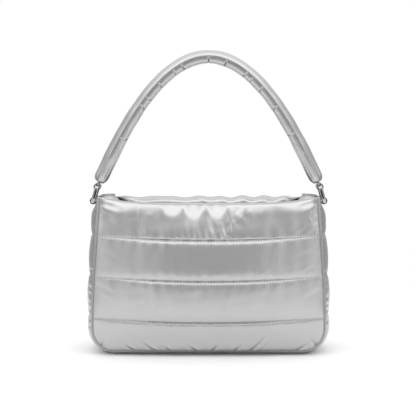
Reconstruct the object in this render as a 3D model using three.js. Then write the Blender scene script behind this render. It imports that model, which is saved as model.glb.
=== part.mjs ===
// Puffer shoulder bag: a quilted padded panel at the front and one at the back, a padded gusset that runs
// down one side, under the bag and up the other, a stuffed handle, and a metal ring at each end of it.
// Millimetres, +Z up, +X across the bag, -Y its front. The origin is on the floor, under the middle.
import * as THREE from "three";

// Walls and seams
const CLOTH = 2; // stitched-down thickness of the padded cloth
const SEAM_GAP = 0.3; // clearance between two sewn pieces
const BASE_SEAM_HEIGHT = 6; // the panels' lower seam above the floor
const CORNER_RADIUS = 27; // lower corners of the panels

// The seam between panel and gusset, from the base up: its distance from the middle in X and in Y, how far
// a panel bows out past it at mid-width, and how far the gusset stands out past it at mid-depth.
const BODY_SECTIONS = [
  { height: 0, halfWidth: 142, halfDepth: 36, bow: 0, sideBulge: 8.5 },
  { height: 45, halfWidth: 141.5, halfDepth: 41, bow: 6, sideBulge: 9 },
  { height: 95, halfWidth: 139.5, halfDepth: 40, bow: 7, sideBulge: 9.5 },
  { height: 145, halfWidth: 136, halfDepth: 35, bow: 4, sideBulge: 10 },
  { height: 172, halfWidth: 134.2, halfDepth: 29.5, bow: -1, sideBulge: 10 },
  { height: 196, halfWidth: 133, halfDepth: 24, bow: -6, sideBulge: 10 },
];

// Sewn lines across a panel, from its lower seam up: height at mid-width, how much higher the line ends at
// the side seams, the power of that curve, and how far the channel above the line puffs out and in.
const PANEL_LINES = [
  { height: BASE_SEAM_HEIGHT, rise: 0, curve: 2, puffOut: 7.5, puffIn: 2 },
  { height: 43, rise: 4.8, curve: 2, puffOut: 8, puffIn: 2.5 },
  { height: 93.8, rise: 4.8, curve: 2, puffOut: 8, puffIn: 2.5 },
  { height: 143, rise: 4.8, curve: 2, puffOut: 7, puffIn: 3 },
];
// The rims: a line's first three columns, and how far the padding rolls into the mouth below the rim.
const FRONT_RIM = { height: 184, rise: 9, curve: 5, roll: 5 };
const BACK_RIM = { height: 187.5, rise: 1, curve: 6, roll: 12 };
const RIM_FALL = 0.55; // share of the top channel's puff that is gone at the rim
const ROLL_START = 0.35; // share of the top channel where a roll begins
const ROLL_PEAK = 0.75; // and where it stands out most
const ROLL_BACK = 0.75; // share of the roll that is gone at the rim

// Gathers below each rim: place along it, half width, depth, and the share of the channel they reach down.
const FRONT_GATHERS = [
  { x: -72, halfWidth: 17, depth: 2.5, reach: 0.28 },
  { x: -45, halfWidth: 15, depth: 4.5, reach: 0.34 },
  { x: -18, halfWidth: 13, depth: 6.5, reach: 0.44 },
  { x: 10, halfWidth: 13, depth: 6, reach: 0.4 },
  { x: 35, halfWidth: 14, depth: 5, reach: 0.38 },
  { x: 62, halfWidth: 16, depth: 3, reach: 0.3 },
];
const BACK_GATHERS = [
  { x: -58, halfWidth: 16, depth: 3, reach: 0.3 },
  { x: -30, halfWidth: 14, depth: 4.5, reach: 0.36 },
  { x: -3, halfWidth: 13, depth: 5.5, reach: 0.4 },
  { x: 24, halfWidth: 14, depth: 5, reach: 0.36 },
  { x: 52, halfWidth: 16, depth: 3.5, reach: 0.3 },
];
const GATHER_INSIDE = 0.5; // share of a gather's depth that shows inside the mouth
const GATHER_FOOT = 0.5; // share of a gather's width that is left at its lower end

// Gusset
const QUILT_NOTCH = 2.4; // how far a quilting line draws the gusset in
const GUSSET_PADDING = 5; // thickness of its padding between the lines
const FOLD_START = 175; // above this height the gusset folds inwards
const FOLD_DEPTH = 26; // how far the fold draws the gusset's middle in
const EDGE_START = 165; // above this height the gusset's top edge leaves the level
const CREST_RISE = 2; // the top edge's middle stands this much above its front end
const BACK_DROP = 4.5; // and its back end lies this much below it

// Rings, with the fabric loops that hold them
const RING_WIRE = 5;
const RING_WIDTH = 28; // along Y, between the wire's centre lines
const RING_HEIGHT = 18; // between the wire's centre lines
const RING_CORNER = 4.5;
const RING_SIDES = 10;
const RING_TILT = THREE.MathUtils.degToRad(16); // top leans towards the middle of the bag
const RING_FOOT = { x: 142.5, z: 187.7 }; // centre of the lower bar
const LOOP_WIDTH = 18;
const LOOP_CLOTH = 1.8;
const LOOP_BORE = RING_WIRE / 2 + SEAM_GAP;
const TAB_LENGTH = 13; // from the lower bar up the gusset's fold
const TAB_LEAN = THREE.MathUtils.degToRad(62); // the tab's slope there, from upright
const HANDLE_LEG = 6.2; // from the upper bar up to the handle's end
const LEG_LEAN = THREE.MathUtils.degToRad(24); // the handle's slope at its ends, from upright

// Handle
const HANDLE_TOP = 364; // centre line at the top of the arch
const HANDLE_CURVE = 0.0085; // how fast the arch falls away from its top, per millimetre
const HANDLE_THICK = 17.6; // seen from the front
const HANDLE_DEEP = 21; // along Y
const HANDLE_STEPS = 84;
const HANDLE_SIDES = 10;
const HANDLE_END = [
  { fromEnd: 0, share: 0.56 },
  { fromEnd: 3, share: 0.8 },
  { fromEnd: 9, share: 0.95 },
  { fromEnd: 18, share: 1 },
];
// Creases on the inside of the arch: place across the bag and depth.
const HANDLE_CREASES = [
  { x: -86, depth: 1.2 },
  { x: -63, depth: 1.4 },
  { x: -46, depth: 1 },
  { x: -31, depth: 1.8 },
  { x: 0, depth: 3 },
  { x: 20, depth: 2.4 },
  { x: 44, depth: 1.6 },
  { x: 69, depth: 1.2 },
  { x: 86, depth: 1.4 },
];
const CREASE_HALF_WIDTH = 5;

// Finishes
const silverCloth = { color: 0xbfbfc1, roughness: 0.38, metalness: 0.75 };
const darkNickel = { color: 0x6f6f72, roughness: 0.15, metalness: 1 };

const clamp = THREE.MathUtils.clamp;
const lerp = THREE.MathUtils.lerp;
const smoothstep = THREE.MathUtils.smoothstep;

// A share of a quarter turn, in radians.
const quarter = (share) => (share * Math.PI) / 2;

// A smooth bump, 1 in the middle and 0 from one half width on.
function bump(distance, halfWidth) {
  const share = clamp(Math.abs(distance) / halfWidth, 0, 1);
  return (1 - share * share) ** 2;
}

// How full a channel is at a share of the way across it: 0 on both stitched lines, flat between them.
function fullness(share) {
  return Math.sqrt(1 - Math.abs(2 * share - 1) ** 3);
}

// A table's columns at a value of its key column, with a smooth curve through the rows.
function readTable(table, key, value) {
  const i = clamp(table.filter((row) => row[key] <= value).length - 1, 0, table.length - 2);
  const rows = [table[Math.max(i - 1, 0)], table[i], table[i + 1], table[Math.min(i + 2, table.length - 1)]];
  const span = rows[2][key] - rows[1][key];
  const t = clamp((value - rows[1][key]) / span, 0, 1);
  const columns = {};
  for (const name of Object.keys(rows[1])) {
    const before = ((rows[2][name] - rows[0][name]) / (rows[2][key] - rows[0][key])) * span;
    const after = ((rows[3][name] - rows[1][name]) / (rows[3][key] - rows[1][key])) * span;
    const [a, b] = [rows[1][name], rows[2][name]];
    columns[name] =
      a * (2 * t ** 3 - 3 * t ** 2 + 1) +
      before * (t ** 3 - 2 * t ** 2 + t) +
      b * (3 * t ** 2 - 2 * t ** 3) +
      after * (t ** 3 - t ** 2);
  }
  return columns;
}

const bodyAt = (height) => readTable(BODY_SECTIONS, "height", height);

// Half width of a panel at a height, inside its rounded lower corners, drawn in from the seam by an inset.
function panelHalfWidth(height, inset) {
  const centre = BASE_SEAM_HEIGHT + CORNER_RADIUS;
  const full = bodyAt(Math.max(height, centre)).halfWidth;
  if (height >= centre) return full - inset;
  const radius = CORNER_RADIUS - inset;
  const drop = Math.min(centre - height, radius);
  return full - CORNER_RADIUS + Math.sqrt(radius * radius - drop * drop);
}

// A closed wall from a grid of outer points and a grid of inner points, whose four edges run alike.
function wallGeometry(outer, inner) {
  const points = [...outer.flat(), ...inner.flat()];
  const faces = [];
  const gridIndex = (grid, start) => (i, j) => start + i * grid[0].length + j;
  const outerAt = gridIndex(outer, 0);
  const innerAt = gridIndex(inner, outer.flat().length);
  const cover = (grid, at, turned) => {
    for (let i = 0; i < grid.length - 1; i++) {
      for (let j = 0; j < grid[0].length - 1; j++) {
        const [a, b, c, d] = [at(i, j), at(i, j + 1), at(i + 1, j + 1), at(i + 1, j)];
        faces.push(...(turned ? [a, c, b, a, d, c] : [a, b, c, a, c, d]));
      }
    }
  };
  cover(outer, outerAt, false);
  cover(inner, innerAt, true);
  // The four edges in turn, each a list of vertex numbers.
  const edges = (grid, at) => {
    const rows = [...grid.keys()];
    const columns = [...grid[0].keys()];
    const [lastRow, lastColumn] = [rows.at(-1), columns.at(-1)];
    return [
      columns.map((j) => at(0, j)),
      rows.map((i) => at(i, lastColumn)),
      columns.map((j) => at(lastRow, lastColumn - j)),
      rows.map((i) => at(lastRow - i, 0)),
    ];
  };
  const innerEdges = edges(inner, innerAt);
  edges(outer, outerAt).forEach((a, side) => {
    const b = innerEdges[side];
    let [i, j] = [0, 0];
    while (i < a.length - 1 || j < b.length - 1) {
      if ((i + 1) / (a.length - 1) <= (j + 1) / (b.length - 1)) {
        faces.push(a[i + 1], a[i], b[j]);
        i += 1;
      } else {
        faces.push(a[i], b[j], b[j + 1]);
        j += 1;
      }
    }
  });
  return solidGeometry(points, faces);
}

// A tube through rings of points: a loop that closes on itself, or a length with an end cap on each end.
function tubeGeometry(rings, isLoop) {
  const sides = rings[0].length;
  const points = rings.flat();
  const faces = [];
  const steps = isLoop ? rings.length : rings.length - 1;
  for (let i = 0; i < steps; i++) {
    for (let k = 0; k < sides; k++) {
      const [here, next] = [i * sides, ((i + 1) % rings.length) * sides];
      const [a, b] = [k, (k + 1) % sides];
      faces.push(here + a, here + b, next + b, here + a, next + b, next + a);
    }
  }
  if (!isLoop) {
    const last = (rings.length - 1) * sides;
    for (let k = 1; k < sides - 1; k++) faces.push(0, k + 1, k, last, last + k, last + k + 1);
  }
  return solidGeometry(points, faces);
}

// A geometry from points and triangles, with its faces turned out if they were drawn facing in.
function solidGeometry(points, faces) {
  let volume = 0;
  for (let f = 0; f < faces.length; f += 3) {
    const [a, b, c] = faces.slice(f, f + 3).map((index) => points[index]);
    volume += a.dot(b.clone().cross(c));
  }
  if (volume < 0) faces.reverse();
  const geometry = new THREE.BufferGeometry().setFromPoints(points);
  geometry.setIndex(faces);
  geometry.computeVertexNormals();
  return geometry;
}

// Steps between the values of a list, each stretch cut into a number of equal parts.
function stepped(values, parts) {
  const made = [values[0]];
  for (let i = 0; i < values.length - 1; i++) {
    for (let k = 1; k <= parts[i]; k++) made.push(lerp(values[i], values[i + 1], k / parts[i]));
  }
  return made;
}

// One point of a panel's face. across runs from -1 to 1 between the side seams, level counts channels from
// the lower seam up, and side is -1 at the front of the bag and 1 at the back.
function panelPoint(across, level, outside, side, rim, gathers) {
  const channel = Math.min(Math.floor(level), PANEL_LINES.length - 1);
  const share = level - channel;
  const inset = (outside ? 0 : CLOTH) + SEAM_GAP / 2;
  const below = PANEL_LINES[channel];
  const isTop = channel === PANEL_LINES.length - 1;
  const above = isTop ? rim : PANEL_LINES[channel + 1];
  const lineHeight = (line) => line.height + line.rise * Math.abs(across) ** line.curve;
  const onSeam = 1 - smoothstep(level, 0, 0.5);
  const height = lerp(lineHeight(below), lineHeight(above), share) + inset * onSeam;
  const body = bodyAt(height);
  const x = across * panelHalfWidth(height, inset);
  const fade = Math.sqrt(1 - across ** 4);
  const middle = body.halfDepth + body.bow * (1 - across * across);
  const full = isTop && share > 0.5 ? 1 - RIM_FALL * (2 * share - 1) ** 3 : fullness(share);
  const gather = isTop ? gatherDepth(gathers, x, share) : 0;
  if (outside) {
    const depth = middle + (below.puffOut * full - gather) * fade;
    return new THREE.Vector3(x, side * (depth + SEAM_GAP / 2), height);
  }
  const rolling = smoothstep(share, ROLL_START, ROLL_PEAK) - ROLL_BACK * smoothstep(share, ROLL_PEAK, 1);
  const roll = isTop ? rim.roll * rolling : 0;
  const depth = middle - CLOTH - (below.puffIn * full + roll + gather * GATHER_INSIDE) * fade;
  return new THREE.Vector3(x, side * (depth + SEAM_GAP / 2), height);
}

// How deep the gathers are at a place below the rim: deepest at the rim, and narrower on their way down.
function gatherDepth(gathers, x, share) {
  let depth = 0;
  for (const row of gathers) {
    const upward = clamp((share - 1 + row.reach) / row.reach, 0, 1);
    depth += row.depth * upward * bump(x - row.x, row.halfWidth * lerp(GATHER_FOOT, 1, upward));
  }
  return depth;
}

// Levels of a panel's rows: even turns round the lower corners, then a number of rows to each channel.
function panelLevels(cornerParts, lowParts, channelParts, rimParts) {
  const channelHeight = PANEL_LINES[1].height + PANEL_LINES[1].rise - BASE_SEAM_HEIGHT;
  const cornerShare = CORNER_RADIUS / channelHeight;
  const turns = Array.from({ length: cornerParts }, (_, k) => quarter(k / cornerParts));
  const corner = turns.map((turn) => cornerShare * (1 - Math.cos(turn)));
  const channels = stepped([cornerShare, 1, 2, 3, 4], [lowParts, channelParts, channelParts, rimParts]);
  return [...corner, ...channels];
}

function panelGeometry(side, rim, gathers) {
  const fineColumns = stepped([-1, -0.86, -0.42, 0.42, 0.86, 1], [4, 6, 24, 6, 4]);
  const coarseColumns = stepped([-1, -0.86, 0.86, 1], [2, 14, 2]);
  const fineRows = panelLevels(6, 2, 5, 6);
  const coarseRows = panelLevels(3, 1, 2, 4);
  const face = (rows, columns, outside) =>
    rows.map((level) => columns.map((across) => panelPoint(across, level, outside, side, rim, gathers)));
  return wallGeometry(face(fineRows, fineColumns, true), face(coarseRows, coarseColumns, false));
}

// The seam's path from the top of the right side to the middle of the base: each station has its place, the
// way out of the bag there, and how full the quilted channel is.
function gussetStations(channelParts, lowParts, cornerParts, baseParts) {
  const lineEnds = [...PANEL_LINES.slice(1), FRONT_RIM].map((line) => line.height + line.rise);
  const cornerTop = BASE_SEAM_HEIGHT + CORNER_RADIUS;
  const stations = [];
  const add = (x, z, out, full) => stations.push({ x, z, out, full, ...bodyAt(z) });
  for (let channel = lineEnds.length - 2; channel >= 0; channel--) {
    for (let k = 0; k < channelParts; k++) {
      const share = 1 - k / channelParts;
      const z = lerp(lineEnds[channel], lineEnds[channel + 1], share);
      const isTop = channel === lineEnds.length - 2 && share > 0.5;
      add(bodyAt(z).halfWidth, z, [1, 0], isTop ? 1 : fullness(share));
    }
  }
  for (const [k, z] of stepped([lineEnds[0], cornerTop], [lowParts]).entries()) {
    add(bodyAt(z).halfWidth, z, [1, 0], Math.sqrt(k / lowParts));
  }
  const flat = bodyAt(cornerTop).halfWidth - CORNER_RADIUS;
  for (let k = 1; k <= cornerParts; k++) {
    const turn = quarter(k / cornerParts);
    const out = [Math.cos(turn), -Math.sin(turn)];
    add(flat + CORNER_RADIUS * out[0], cornerTop + CORNER_RADIUS * out[1], out, 1);
  }
  for (const x of stepped([flat, 0], [baseParts]).slice(1)) add(x, BASE_SEAM_HEIGHT, [0, -1], 1);
  return stations;
}

// One point of the gusset. deep runs from -1 at the front seam to 1 at the back seam.
function gussetPoint(station, deep, outside) {
  const roundness = 1 - Math.abs(deep) ** 3;
  const quilted = roundness * (station.sideBulge - QUILT_NOTCH * (1 - station.full));
  const folding = smoothstep(station.z, FOLD_START, BODY_SECTIONS.at(-1).height);
  const fold = FOLD_DEPTH * folding * (1 - deep * deep) ** 3;
  const padding = CLOTH + GUSSET_PADDING * roundness * station.full;
  const reach = quilted - fold - (outside ? 0 : padding) + SEAM_GAP / 2;
  const inset = outside ? 0 : CLOTH;
  const edge = CREST_RISE * (1 - deep * deep) - BACK_DROP * Math.max(deep, 0) ** 2;
  const shift = edge * smoothstep(station.z, EDGE_START, FRONT_RIM.height + FRONT_RIM.rise);
  const seam = bodyAt(station.z + shift);
  return new THREE.Vector3(
    station.x + seam.halfWidth - station.halfWidth + station.out[0] * reach,
    deep * (seam.halfDepth - inset - SEAM_GAP / 2),
    Math.max(station.z + shift + station.out[1] * reach, 0),
  );
}

function gussetGeometry() {
  const face = (stations, across, outside) => {
    const half = stations.map((station) => across.map((deep) => gussetPoint(station, deep, outside)));
    const mirrored = half.slice(0, -1).map((row) => row.map((p) => p.clone().setX(-p.x)));
    return [...half, ...mirrored.reverse()];
  };
  const outer = face(gussetStations(5, 2, 6, 5), stepped([-1, -0.6, 0.6, 1], [2, 4, 2]), true);
  const inner = face(gussetStations(3, 1, 3, 3), stepped([-1, 1], [4]), false);
  return wallGeometry(outer, inner);
}

// A metal ring of round wire, a rounded rectangle that stands in the plane of Y and its own tilted height.
function ringGeometry() {
  const outline = new THREE.Shape();
  const [w, h, r] = [RING_WIDTH / 2, RING_HEIGHT, RING_CORNER];
  outline.moveTo(-w + r, 0).lineTo(w - r, 0).absarc(w - r, r, r, -Math.PI / 2, 0, false);
  outline.lineTo(w, h - r).absarc(w - r, h - r, r, 0, Math.PI / 2, false);
  outline.lineTo(-w + r, h).absarc(-w + r, h - r, r, Math.PI / 2, Math.PI, false);
  outline.lineTo(-w, r).absarc(-w + r, r, r, Math.PI, 1.5 * Math.PI, false);
  const path = outline.getPoints(4);
  if (path[0].distanceTo(path.at(-1)) < SEAM_GAP) path.pop();
  const rings = path.map((p, i) => {
    const [before, after] = [path.at(i - 1), path[(i + 1) % path.length]];
    const along = after.clone().sub(before).normalize();
    return Array.from({ length: RING_SIDES }, (_, k) => {
      const turn = (k / RING_SIDES) * 2 * Math.PI;
      const inPlane = (RING_WIRE / 2) * Math.cos(turn);
      const across = (RING_WIRE / 2) * Math.sin(turn);
      return new THREE.Vector3(across, p.x + along.y * inPlane, p.y - along.x * inPlane);
    });
  });
  return tubeGeometry(rings, true);
}

// A fabric loop folded round a bar, with its two layers sewn together into a leg that runs straight up.
function loopGeometry(legLength) {
  const outerRadius = LOOP_BORE + LOOP_CLOTH;
  const legHalf = LOOP_CLOTH;
  const meet = Math.asin(legHalf / outerRadius);
  const profile = new THREE.Shape();
  profile.moveTo(-legHalf, legLength).lineTo(-legHalf, outerRadius * Math.cos(meet));
  profile.absarc(0, 0, outerRadius, Math.PI / 2 + meet, Math.PI / 2 - meet + 2 * Math.PI, false);
  profile.lineTo(legHalf, legLength);
  profile.holes.push(new THREE.Path().absarc(0, 0, LOOP_BORE, 0, 2 * Math.PI, false));
  const settings = { depth: LOOP_WIDTH, bevelEnabled: false, curveSegments: 14 };
  const geometry = new THREE.ExtrudeGeometry(profile, settings);
  geometry.rotateX(Math.PI / 2);
  geometry.translate(0, LOOP_WIDTH / 2, 0);
  return geometry;
}

// Places that the ring's tilt and the handle's slope set, on the right side of the bag.
const ringHead = {
  x: RING_FOOT.x - RING_HEIGHT * Math.sin(RING_TILT),
  z: RING_FOOT.z + RING_HEIGHT * Math.cos(RING_TILT),
};
const handleEnd = {
  x: ringHead.x - (HANDLE_LEG + SEAM_GAP) * Math.sin(LEG_LEAN),
  z: ringHead.z + (HANDLE_LEG + SEAM_GAP) * Math.cos(LEG_LEAN),
};

// The handle's centre line: a parabola with a quartic term that brings it to both ends.
class HandleArch extends THREE.Curve {
  getPoint(t, target = new THREE.Vector3()) {
    const x = lerp(-handleEnd.x, handleEnd.x, t);
    const fall = HANDLE_TOP - handleEnd.z - HANDLE_CURVE * handleEnd.x ** 2;
    return target.set(x, 0, HANDLE_TOP - HANDLE_CURVE * x * x - fall * (x / handleEnd.x) ** 4);
  }
}

function handleGeometry() {
  const arch = new HandleArch();
  const length = arch.getLength();
  const rings = [];
  for (let i = 0; i <= HANDLE_STEPS; i++) {
    const along = i / HANDLE_STEPS;
    const centre = arch.getPointAt(along);
    const tangent = arch.getTangentAt(along);
    const up = new THREE.Vector3(-tangent.z, 0, tangent.x);
    const fromEnd = Math.min(along, 1 - along) * length;
    const taper = readTable(HANDLE_END, "fromEnd", Math.min(fromEnd, HANDLE_END.at(-1).fromEnd)).share;
    let crease = 0;
    for (const row of HANDLE_CREASES) crease += row.depth * bump(centre.x - row.x, CREASE_HALF_WIDTH);
    rings.push(
      Array.from({ length: HANDLE_SIDES }, (_, k) => {
        const turn = (k / HANDLE_SIDES) * 2 * Math.PI;
        const inside = Math.max(-Math.cos(turn), 0);
        const rise = (HANDLE_THICK / 2) * Math.cos(turn) * taper + crease * inside;
        const out = (HANDLE_DEEP / 2) * Math.sin(turn) * taper;
        return centre.clone().addScaledVector(up, rise).add(new THREE.Vector3(0, out, 0));
      }),
    );
  }
  return tubeGeometry(rings, false);
}

const bag = new THREE.Group();

function addPiece(parent, name, geometry, finish) {
  const piece = new THREE.Mesh(geometry, new THREE.MeshStandardMaterial(finish));
  piece.name = name;
  parent.add(piece);
  return piece;
}

addPiece(bag, "front_panel", panelGeometry(-1, FRONT_RIM, FRONT_GATHERS), silverCloth);
addPiece(bag, "back_panel", panelGeometry(1, BACK_RIM, BACK_GATHERS), silverCloth);
addPiece(bag, "gusset", gussetGeometry(), silverCloth);
addPiece(bag, "handle", handleGeometry(), silverCloth);

// Each side of the handle: the ring, the tab that holds it on the gusset, and the loop at the handle's end.
for (const { label, side } of [
  { label: "left", side: -1 },
  { label: "right", side: 1 },
]) {
  const foot = new THREE.Group();
  foot.position.set(side * RING_FOOT.x, 0, RING_FOOT.z);
  bag.add(foot);
  const ring = addPiece(foot, `ring_${label}`, ringGeometry(), darkNickel);
  ring.rotation.y = -side * RING_TILT;
  const tab = addPiece(foot, `ring_tab_${label}`, loopGeometry(TAB_LENGTH), silverCloth);
  tab.rotation.y = -side * TAB_LEAN;
  const head = new THREE.Group();
  head.position.set(side * ringHead.x, 0, ringHead.z);
  bag.add(head);
  const loop = addPiece(head, `handle_loop_${label}`, loopGeometry(HANDLE_LEG), silverCloth);
  loop.rotation.y = -side * LEG_LEAN;
}

export default bag;
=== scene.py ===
# %% [markdown]
# # A padded shoulder bag of silver cloth
# The solids of the bag are loaded first and stay where they are. Every piece is then made again over its
# own solid, softer and with finer folds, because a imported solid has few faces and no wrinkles.

# %% Load the solids
from math import cos, pi, radians, sin

import bpy
import numpy as np
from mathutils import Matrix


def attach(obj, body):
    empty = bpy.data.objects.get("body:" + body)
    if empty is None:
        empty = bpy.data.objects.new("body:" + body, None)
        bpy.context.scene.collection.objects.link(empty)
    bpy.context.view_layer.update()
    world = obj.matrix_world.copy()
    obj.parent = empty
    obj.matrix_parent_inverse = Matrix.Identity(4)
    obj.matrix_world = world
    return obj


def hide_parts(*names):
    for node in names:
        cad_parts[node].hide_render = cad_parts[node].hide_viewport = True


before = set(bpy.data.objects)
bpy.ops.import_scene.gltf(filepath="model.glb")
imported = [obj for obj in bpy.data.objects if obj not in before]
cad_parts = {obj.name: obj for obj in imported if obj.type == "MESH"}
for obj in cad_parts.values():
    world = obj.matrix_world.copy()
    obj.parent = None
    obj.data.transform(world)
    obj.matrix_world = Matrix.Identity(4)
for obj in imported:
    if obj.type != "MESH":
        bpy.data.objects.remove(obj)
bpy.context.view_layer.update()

MM = 0.001  # lengths below are in millimetres, and Blender's are in metres

# %% [markdown]
# ## Camera
# The bag is seen straight from the front and from a little above. A long lens keeps the handle and the
# base at the same scale. The distance could be tried out by eye. It is worked out instead, from the lens
# and from the width that the picture shows, so the lens can change without losing the framing.

# %% Camera
LENS, SENSOR = 110.0, 36.0
PICTURE_WIDTH = 516.7  # how much of the bag's middle plane the picture shows from side to side
CAMERA_RISE = radians(6.5)  # how far the camera looks down
AIM_SIDE, AIM_HEIGHT = -0.7, 178.0  # the point that it looks at

camera = bpy.data.objects.new("camera", bpy.data.cameras.new("camera"))
bpy.context.scene.collection.objects.link(camera)
camera.data.lens, camera.data.sensor_width = LENS, SENSOR
distance = LENS * PICTURE_WIDTH / SENSOR
camera.location = (
    AIM_SIDE * MM,
    -distance * cos(CAMERA_RISE) * MM,
    (AIM_HEIGHT + distance * sin(CAMERA_RISE)) * MM,
)
camera.rotation_euler = (pi / 2 - CAMERA_RISE, 0, 0)
bpy.context.scene.camera = camera
print("camera", round(distance), "mm away")

# %% [markdown]
# ## Shader arithmetic
# A material is a small program of nodes. It could be written node by node and link by link. Wrapping a
# socket in a class lets it be written as sums and products, which are easier to read: each operator adds
# one Math node and returns the socket that holds the result.


# %% Sockets that can be added and multiplied
class Socket:
    """One output of a node. An operator adds a Math node to the same tree and returns its output."""

    def __init__(self, tree, output):
        self.tree, self.output = tree, output

    @staticmethod
    def node(tree, kind, settings=None, inputs=None, output=0):
        """Any node: its type, its settings, which are set first, and the values or links of its inputs."""
        made = tree.nodes.new(kind)
        for name, value in (settings or {}).items():
            setattr(made, name, value)
        for name, value in (inputs or {}).items():
            if isinstance(value, Socket):
                tree.links.new(value.output, made.inputs[name])
            else:
                made.inputs[name].default_value = value
        return Socket(tree, made.outputs[output] if made.outputs else None)

    def maths(self, operation, *values):
        """A Math node on these values, in their order."""
        return Socket.node(
            self.tree, "ShaderNodeMath", {"operation": operation}, dict(enumerate(values))
        )

    def __add__(self, other):
        return self.maths("ADD", self, other)

    def __sub__(self, other):
        return self.maths("SUBTRACT", self, other)

    def __rsub__(self, other):
        return self.maths("SUBTRACT", other, self)

    def __mul__(self, other):
        return self.maths("MULTIPLY", self, other)

    __radd__ = __add__
    __rmul__ = __mul__

    def between(self, low, high):
        """0 at low, 1 at high, with a smooth step between them."""
        return Socket.node(
            self.tree,
            "ShaderNodeMapRange",
            {"interpolation_type": "SMOOTHSTEP"},
            {"Value": self, "From Min": low, "From Max": high},
        )

    def part(self, axis):
        """One component of a vector."""
        return Socket.node(self.tree, "ShaderNodeSeparateXYZ", inputs={0: self}, output=axis)

    def noise(self, scale, detail=2.0, roughness=0.5):
        """Noise between 0 and 1, read at this place."""
        values = {"Vector": self, "Scale": scale, "Detail": detail, "Roughness": roughness}
        return Socket.node(self.tree, "ShaderNodeTexNoise", inputs=values)


# %% Trees, mixed colours and surfaces
def new_tree(owner):
    """An empty node tree on a material or a world."""
    owner.use_nodes = True
    owner.node_tree.nodes.clear()
    return owner.node_tree


def mixed_colour(share, first, second):
    """A colour between two: the first where the share is 0, the second where it is 1."""
    values = {0: share, 6: (*first, 1), 7: (*second, 1)}
    return Socket.node(share.tree, "ShaderNodeMix", {"data_type": "RGBA"}, values, output=2)


def finish_surface(tree, inputs):
    """A Principled surface with these inputs, joined to the material's output."""
    surface = Socket.node(tree, "ShaderNodeBsdfPrincipled", inputs=inputs)
    Socket.node(tree, "ShaderNodeOutputMaterial", inputs={"Surface": surface})
    print("material with", len(tree.nodes), "nodes")


# %% [markdown]
# ## Stage and light
# The bag stands on white paper in a white tent of light. Silver cloth has little colour of its own: it
# shows what stands round it, so the tent makes most of the picture. Lamps would leave hard highlights. A
# sky that is worked out from the direction gives soft ones, as a photographer's screens do. It is bright
# overhead. In front, where the camera stands, it has a grey opening, which is narrowed sideways so that the
# ends of the panels stay light. A small dark patch lies where an upright polished face shows the lens, and
# the walls are darker far to the sides.

# %% The tent of light
OPENING = (0.0, -cos(radians(14)), sin(radians(14)))  # the way to the middle of the grey opening
LENS_SIDE = (0.0, -cos(CAMERA_RISE), -sin(CAMERA_RISE))  # what an upright face shows the camera
WALL_LIGHT, WALL_FALL = 0.97, 0.42  # light from the front, and how much less comes from behind
SCREEN_LIGHT, BEHIND_LIGHT = 1.05, 0.7  # light added overhead, and high up behind
OPENING_SHARE, LENS_SHARE, SIDE_SHARE = 0.48, 0.95, 0.28  # share that each darker place takes away
NARROWING = 0.9  # share of the opening that is gone to its sides
world = bpy.data.worlds.new("tent")
bpy.context.scene.world = world
bpy.context.scene.view_settings.view_transform = "Standard"
tree = new_tree(world)
direction = Socket.node(tree, "ShaderNodeTexCoord", output="Generated")


def patch(way, edge, core):
    """A round patch of the tent: 1 within its core, 0 outside its edge, both in degrees from a way."""
    values = {0: direction, 1: way}
    towards = Socket.node(tree, "ShaderNodeVectorMath", {"operation": "DOT_PRODUCT"}, values, "Value")
    return towards.between(cos(radians(edge)), cos(radians(core)))


sideways, backward, upward = direction.part("X"), direction.part("Y"), direction.part("Z")
screens = upward.between(0.05, 0.7) * backward.between(-0.8, -0.5) * (1 - backward.between(-0.1, 0.35))
behind = upward.between(0.0, 0.8) * backward.between(-0.1, 0.4)
walls = WALL_LIGHT - backward.between(-0.55, 0.15) * WALL_FALL
tent = walls + behind * BEHIND_LIGHT + screens * SCREEN_LIGHT
aside = sideways * sideways
narrowed = patch(OPENING, 52, 14) * (1 - aside.between(0.0, 0.19) * NARROWING)
tent = tent * (1 - narrowed * OPENING_SHARE)
tent = tent * (1 - patch(LENS_SIDE, 9, 5) * LENS_SHARE)
tent = tent * (1 - aside.between(0.25, 0.8) * SIDE_SHARE)
print("tent worked out in", len(tree.nodes), "nodes")

# %% White behind the bag
# The camera itself sees plain white, while everything else is lit by the tent.
white = (1, 1, 1, 1)
lighting = Socket.node(tree, "ShaderNodeBackground", inputs={"Color": white, "Strength": tent})
backdrop = Socket.node(tree, "ShaderNodeBackground", inputs={"Color": white, "Strength": 1.0})
straight = Socket.node(tree, "ShaderNodeLightPath", output="Is Camera Ray")
mixed = Socket.node(tree, "ShaderNodeMixShader", inputs={0: straight, 1: lighting, 2: backdrop})
Socket.node(tree, "ShaderNodeOutputWorld", inputs={"Surface": mixed})
print("tent made,", len(tree.nodes), "nodes")

# %% [markdown]
# ## Grids and meshes
# Nearly every piece is a grid of points: a closed outline carried along a path. Modifiers could bend such
# shapes too, but a formula puts each fold exactly where it is wanted. A few helpers turn a grid into a
# mesh. Its UV map is the flat cut of the cloth in metres, for the weave.


# %% Helpers for curves
def smoothstep(value, low, high):
    """0 up to low, 1 from high on, and 3t^2 - 2t^3 between them."""
    t = np.clip((value - low) / (high - low), 0, 1)
    return t * t * (3 - 2 * t)


def hump(away, half_width):
    """A rounded hump: (1 - (d/h)^2)^2 inside its half width and 0 outside it."""
    return np.clip(1 - (away / half_width) ** 2, 0, None) ** 2


def fullness(share, low=3):
    """How full a channel is, with m = |2s - 1|: (1 - m^low)^0.5 below its middle, (1 - m^10)^0.9 above."""
    from_middle = np.minimum(np.abs(2 * share - 1), 1)
    return np.where(share > 0.5, (1 - from_middle**10) ** 0.9, np.sqrt(1 - from_middle**low))


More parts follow.
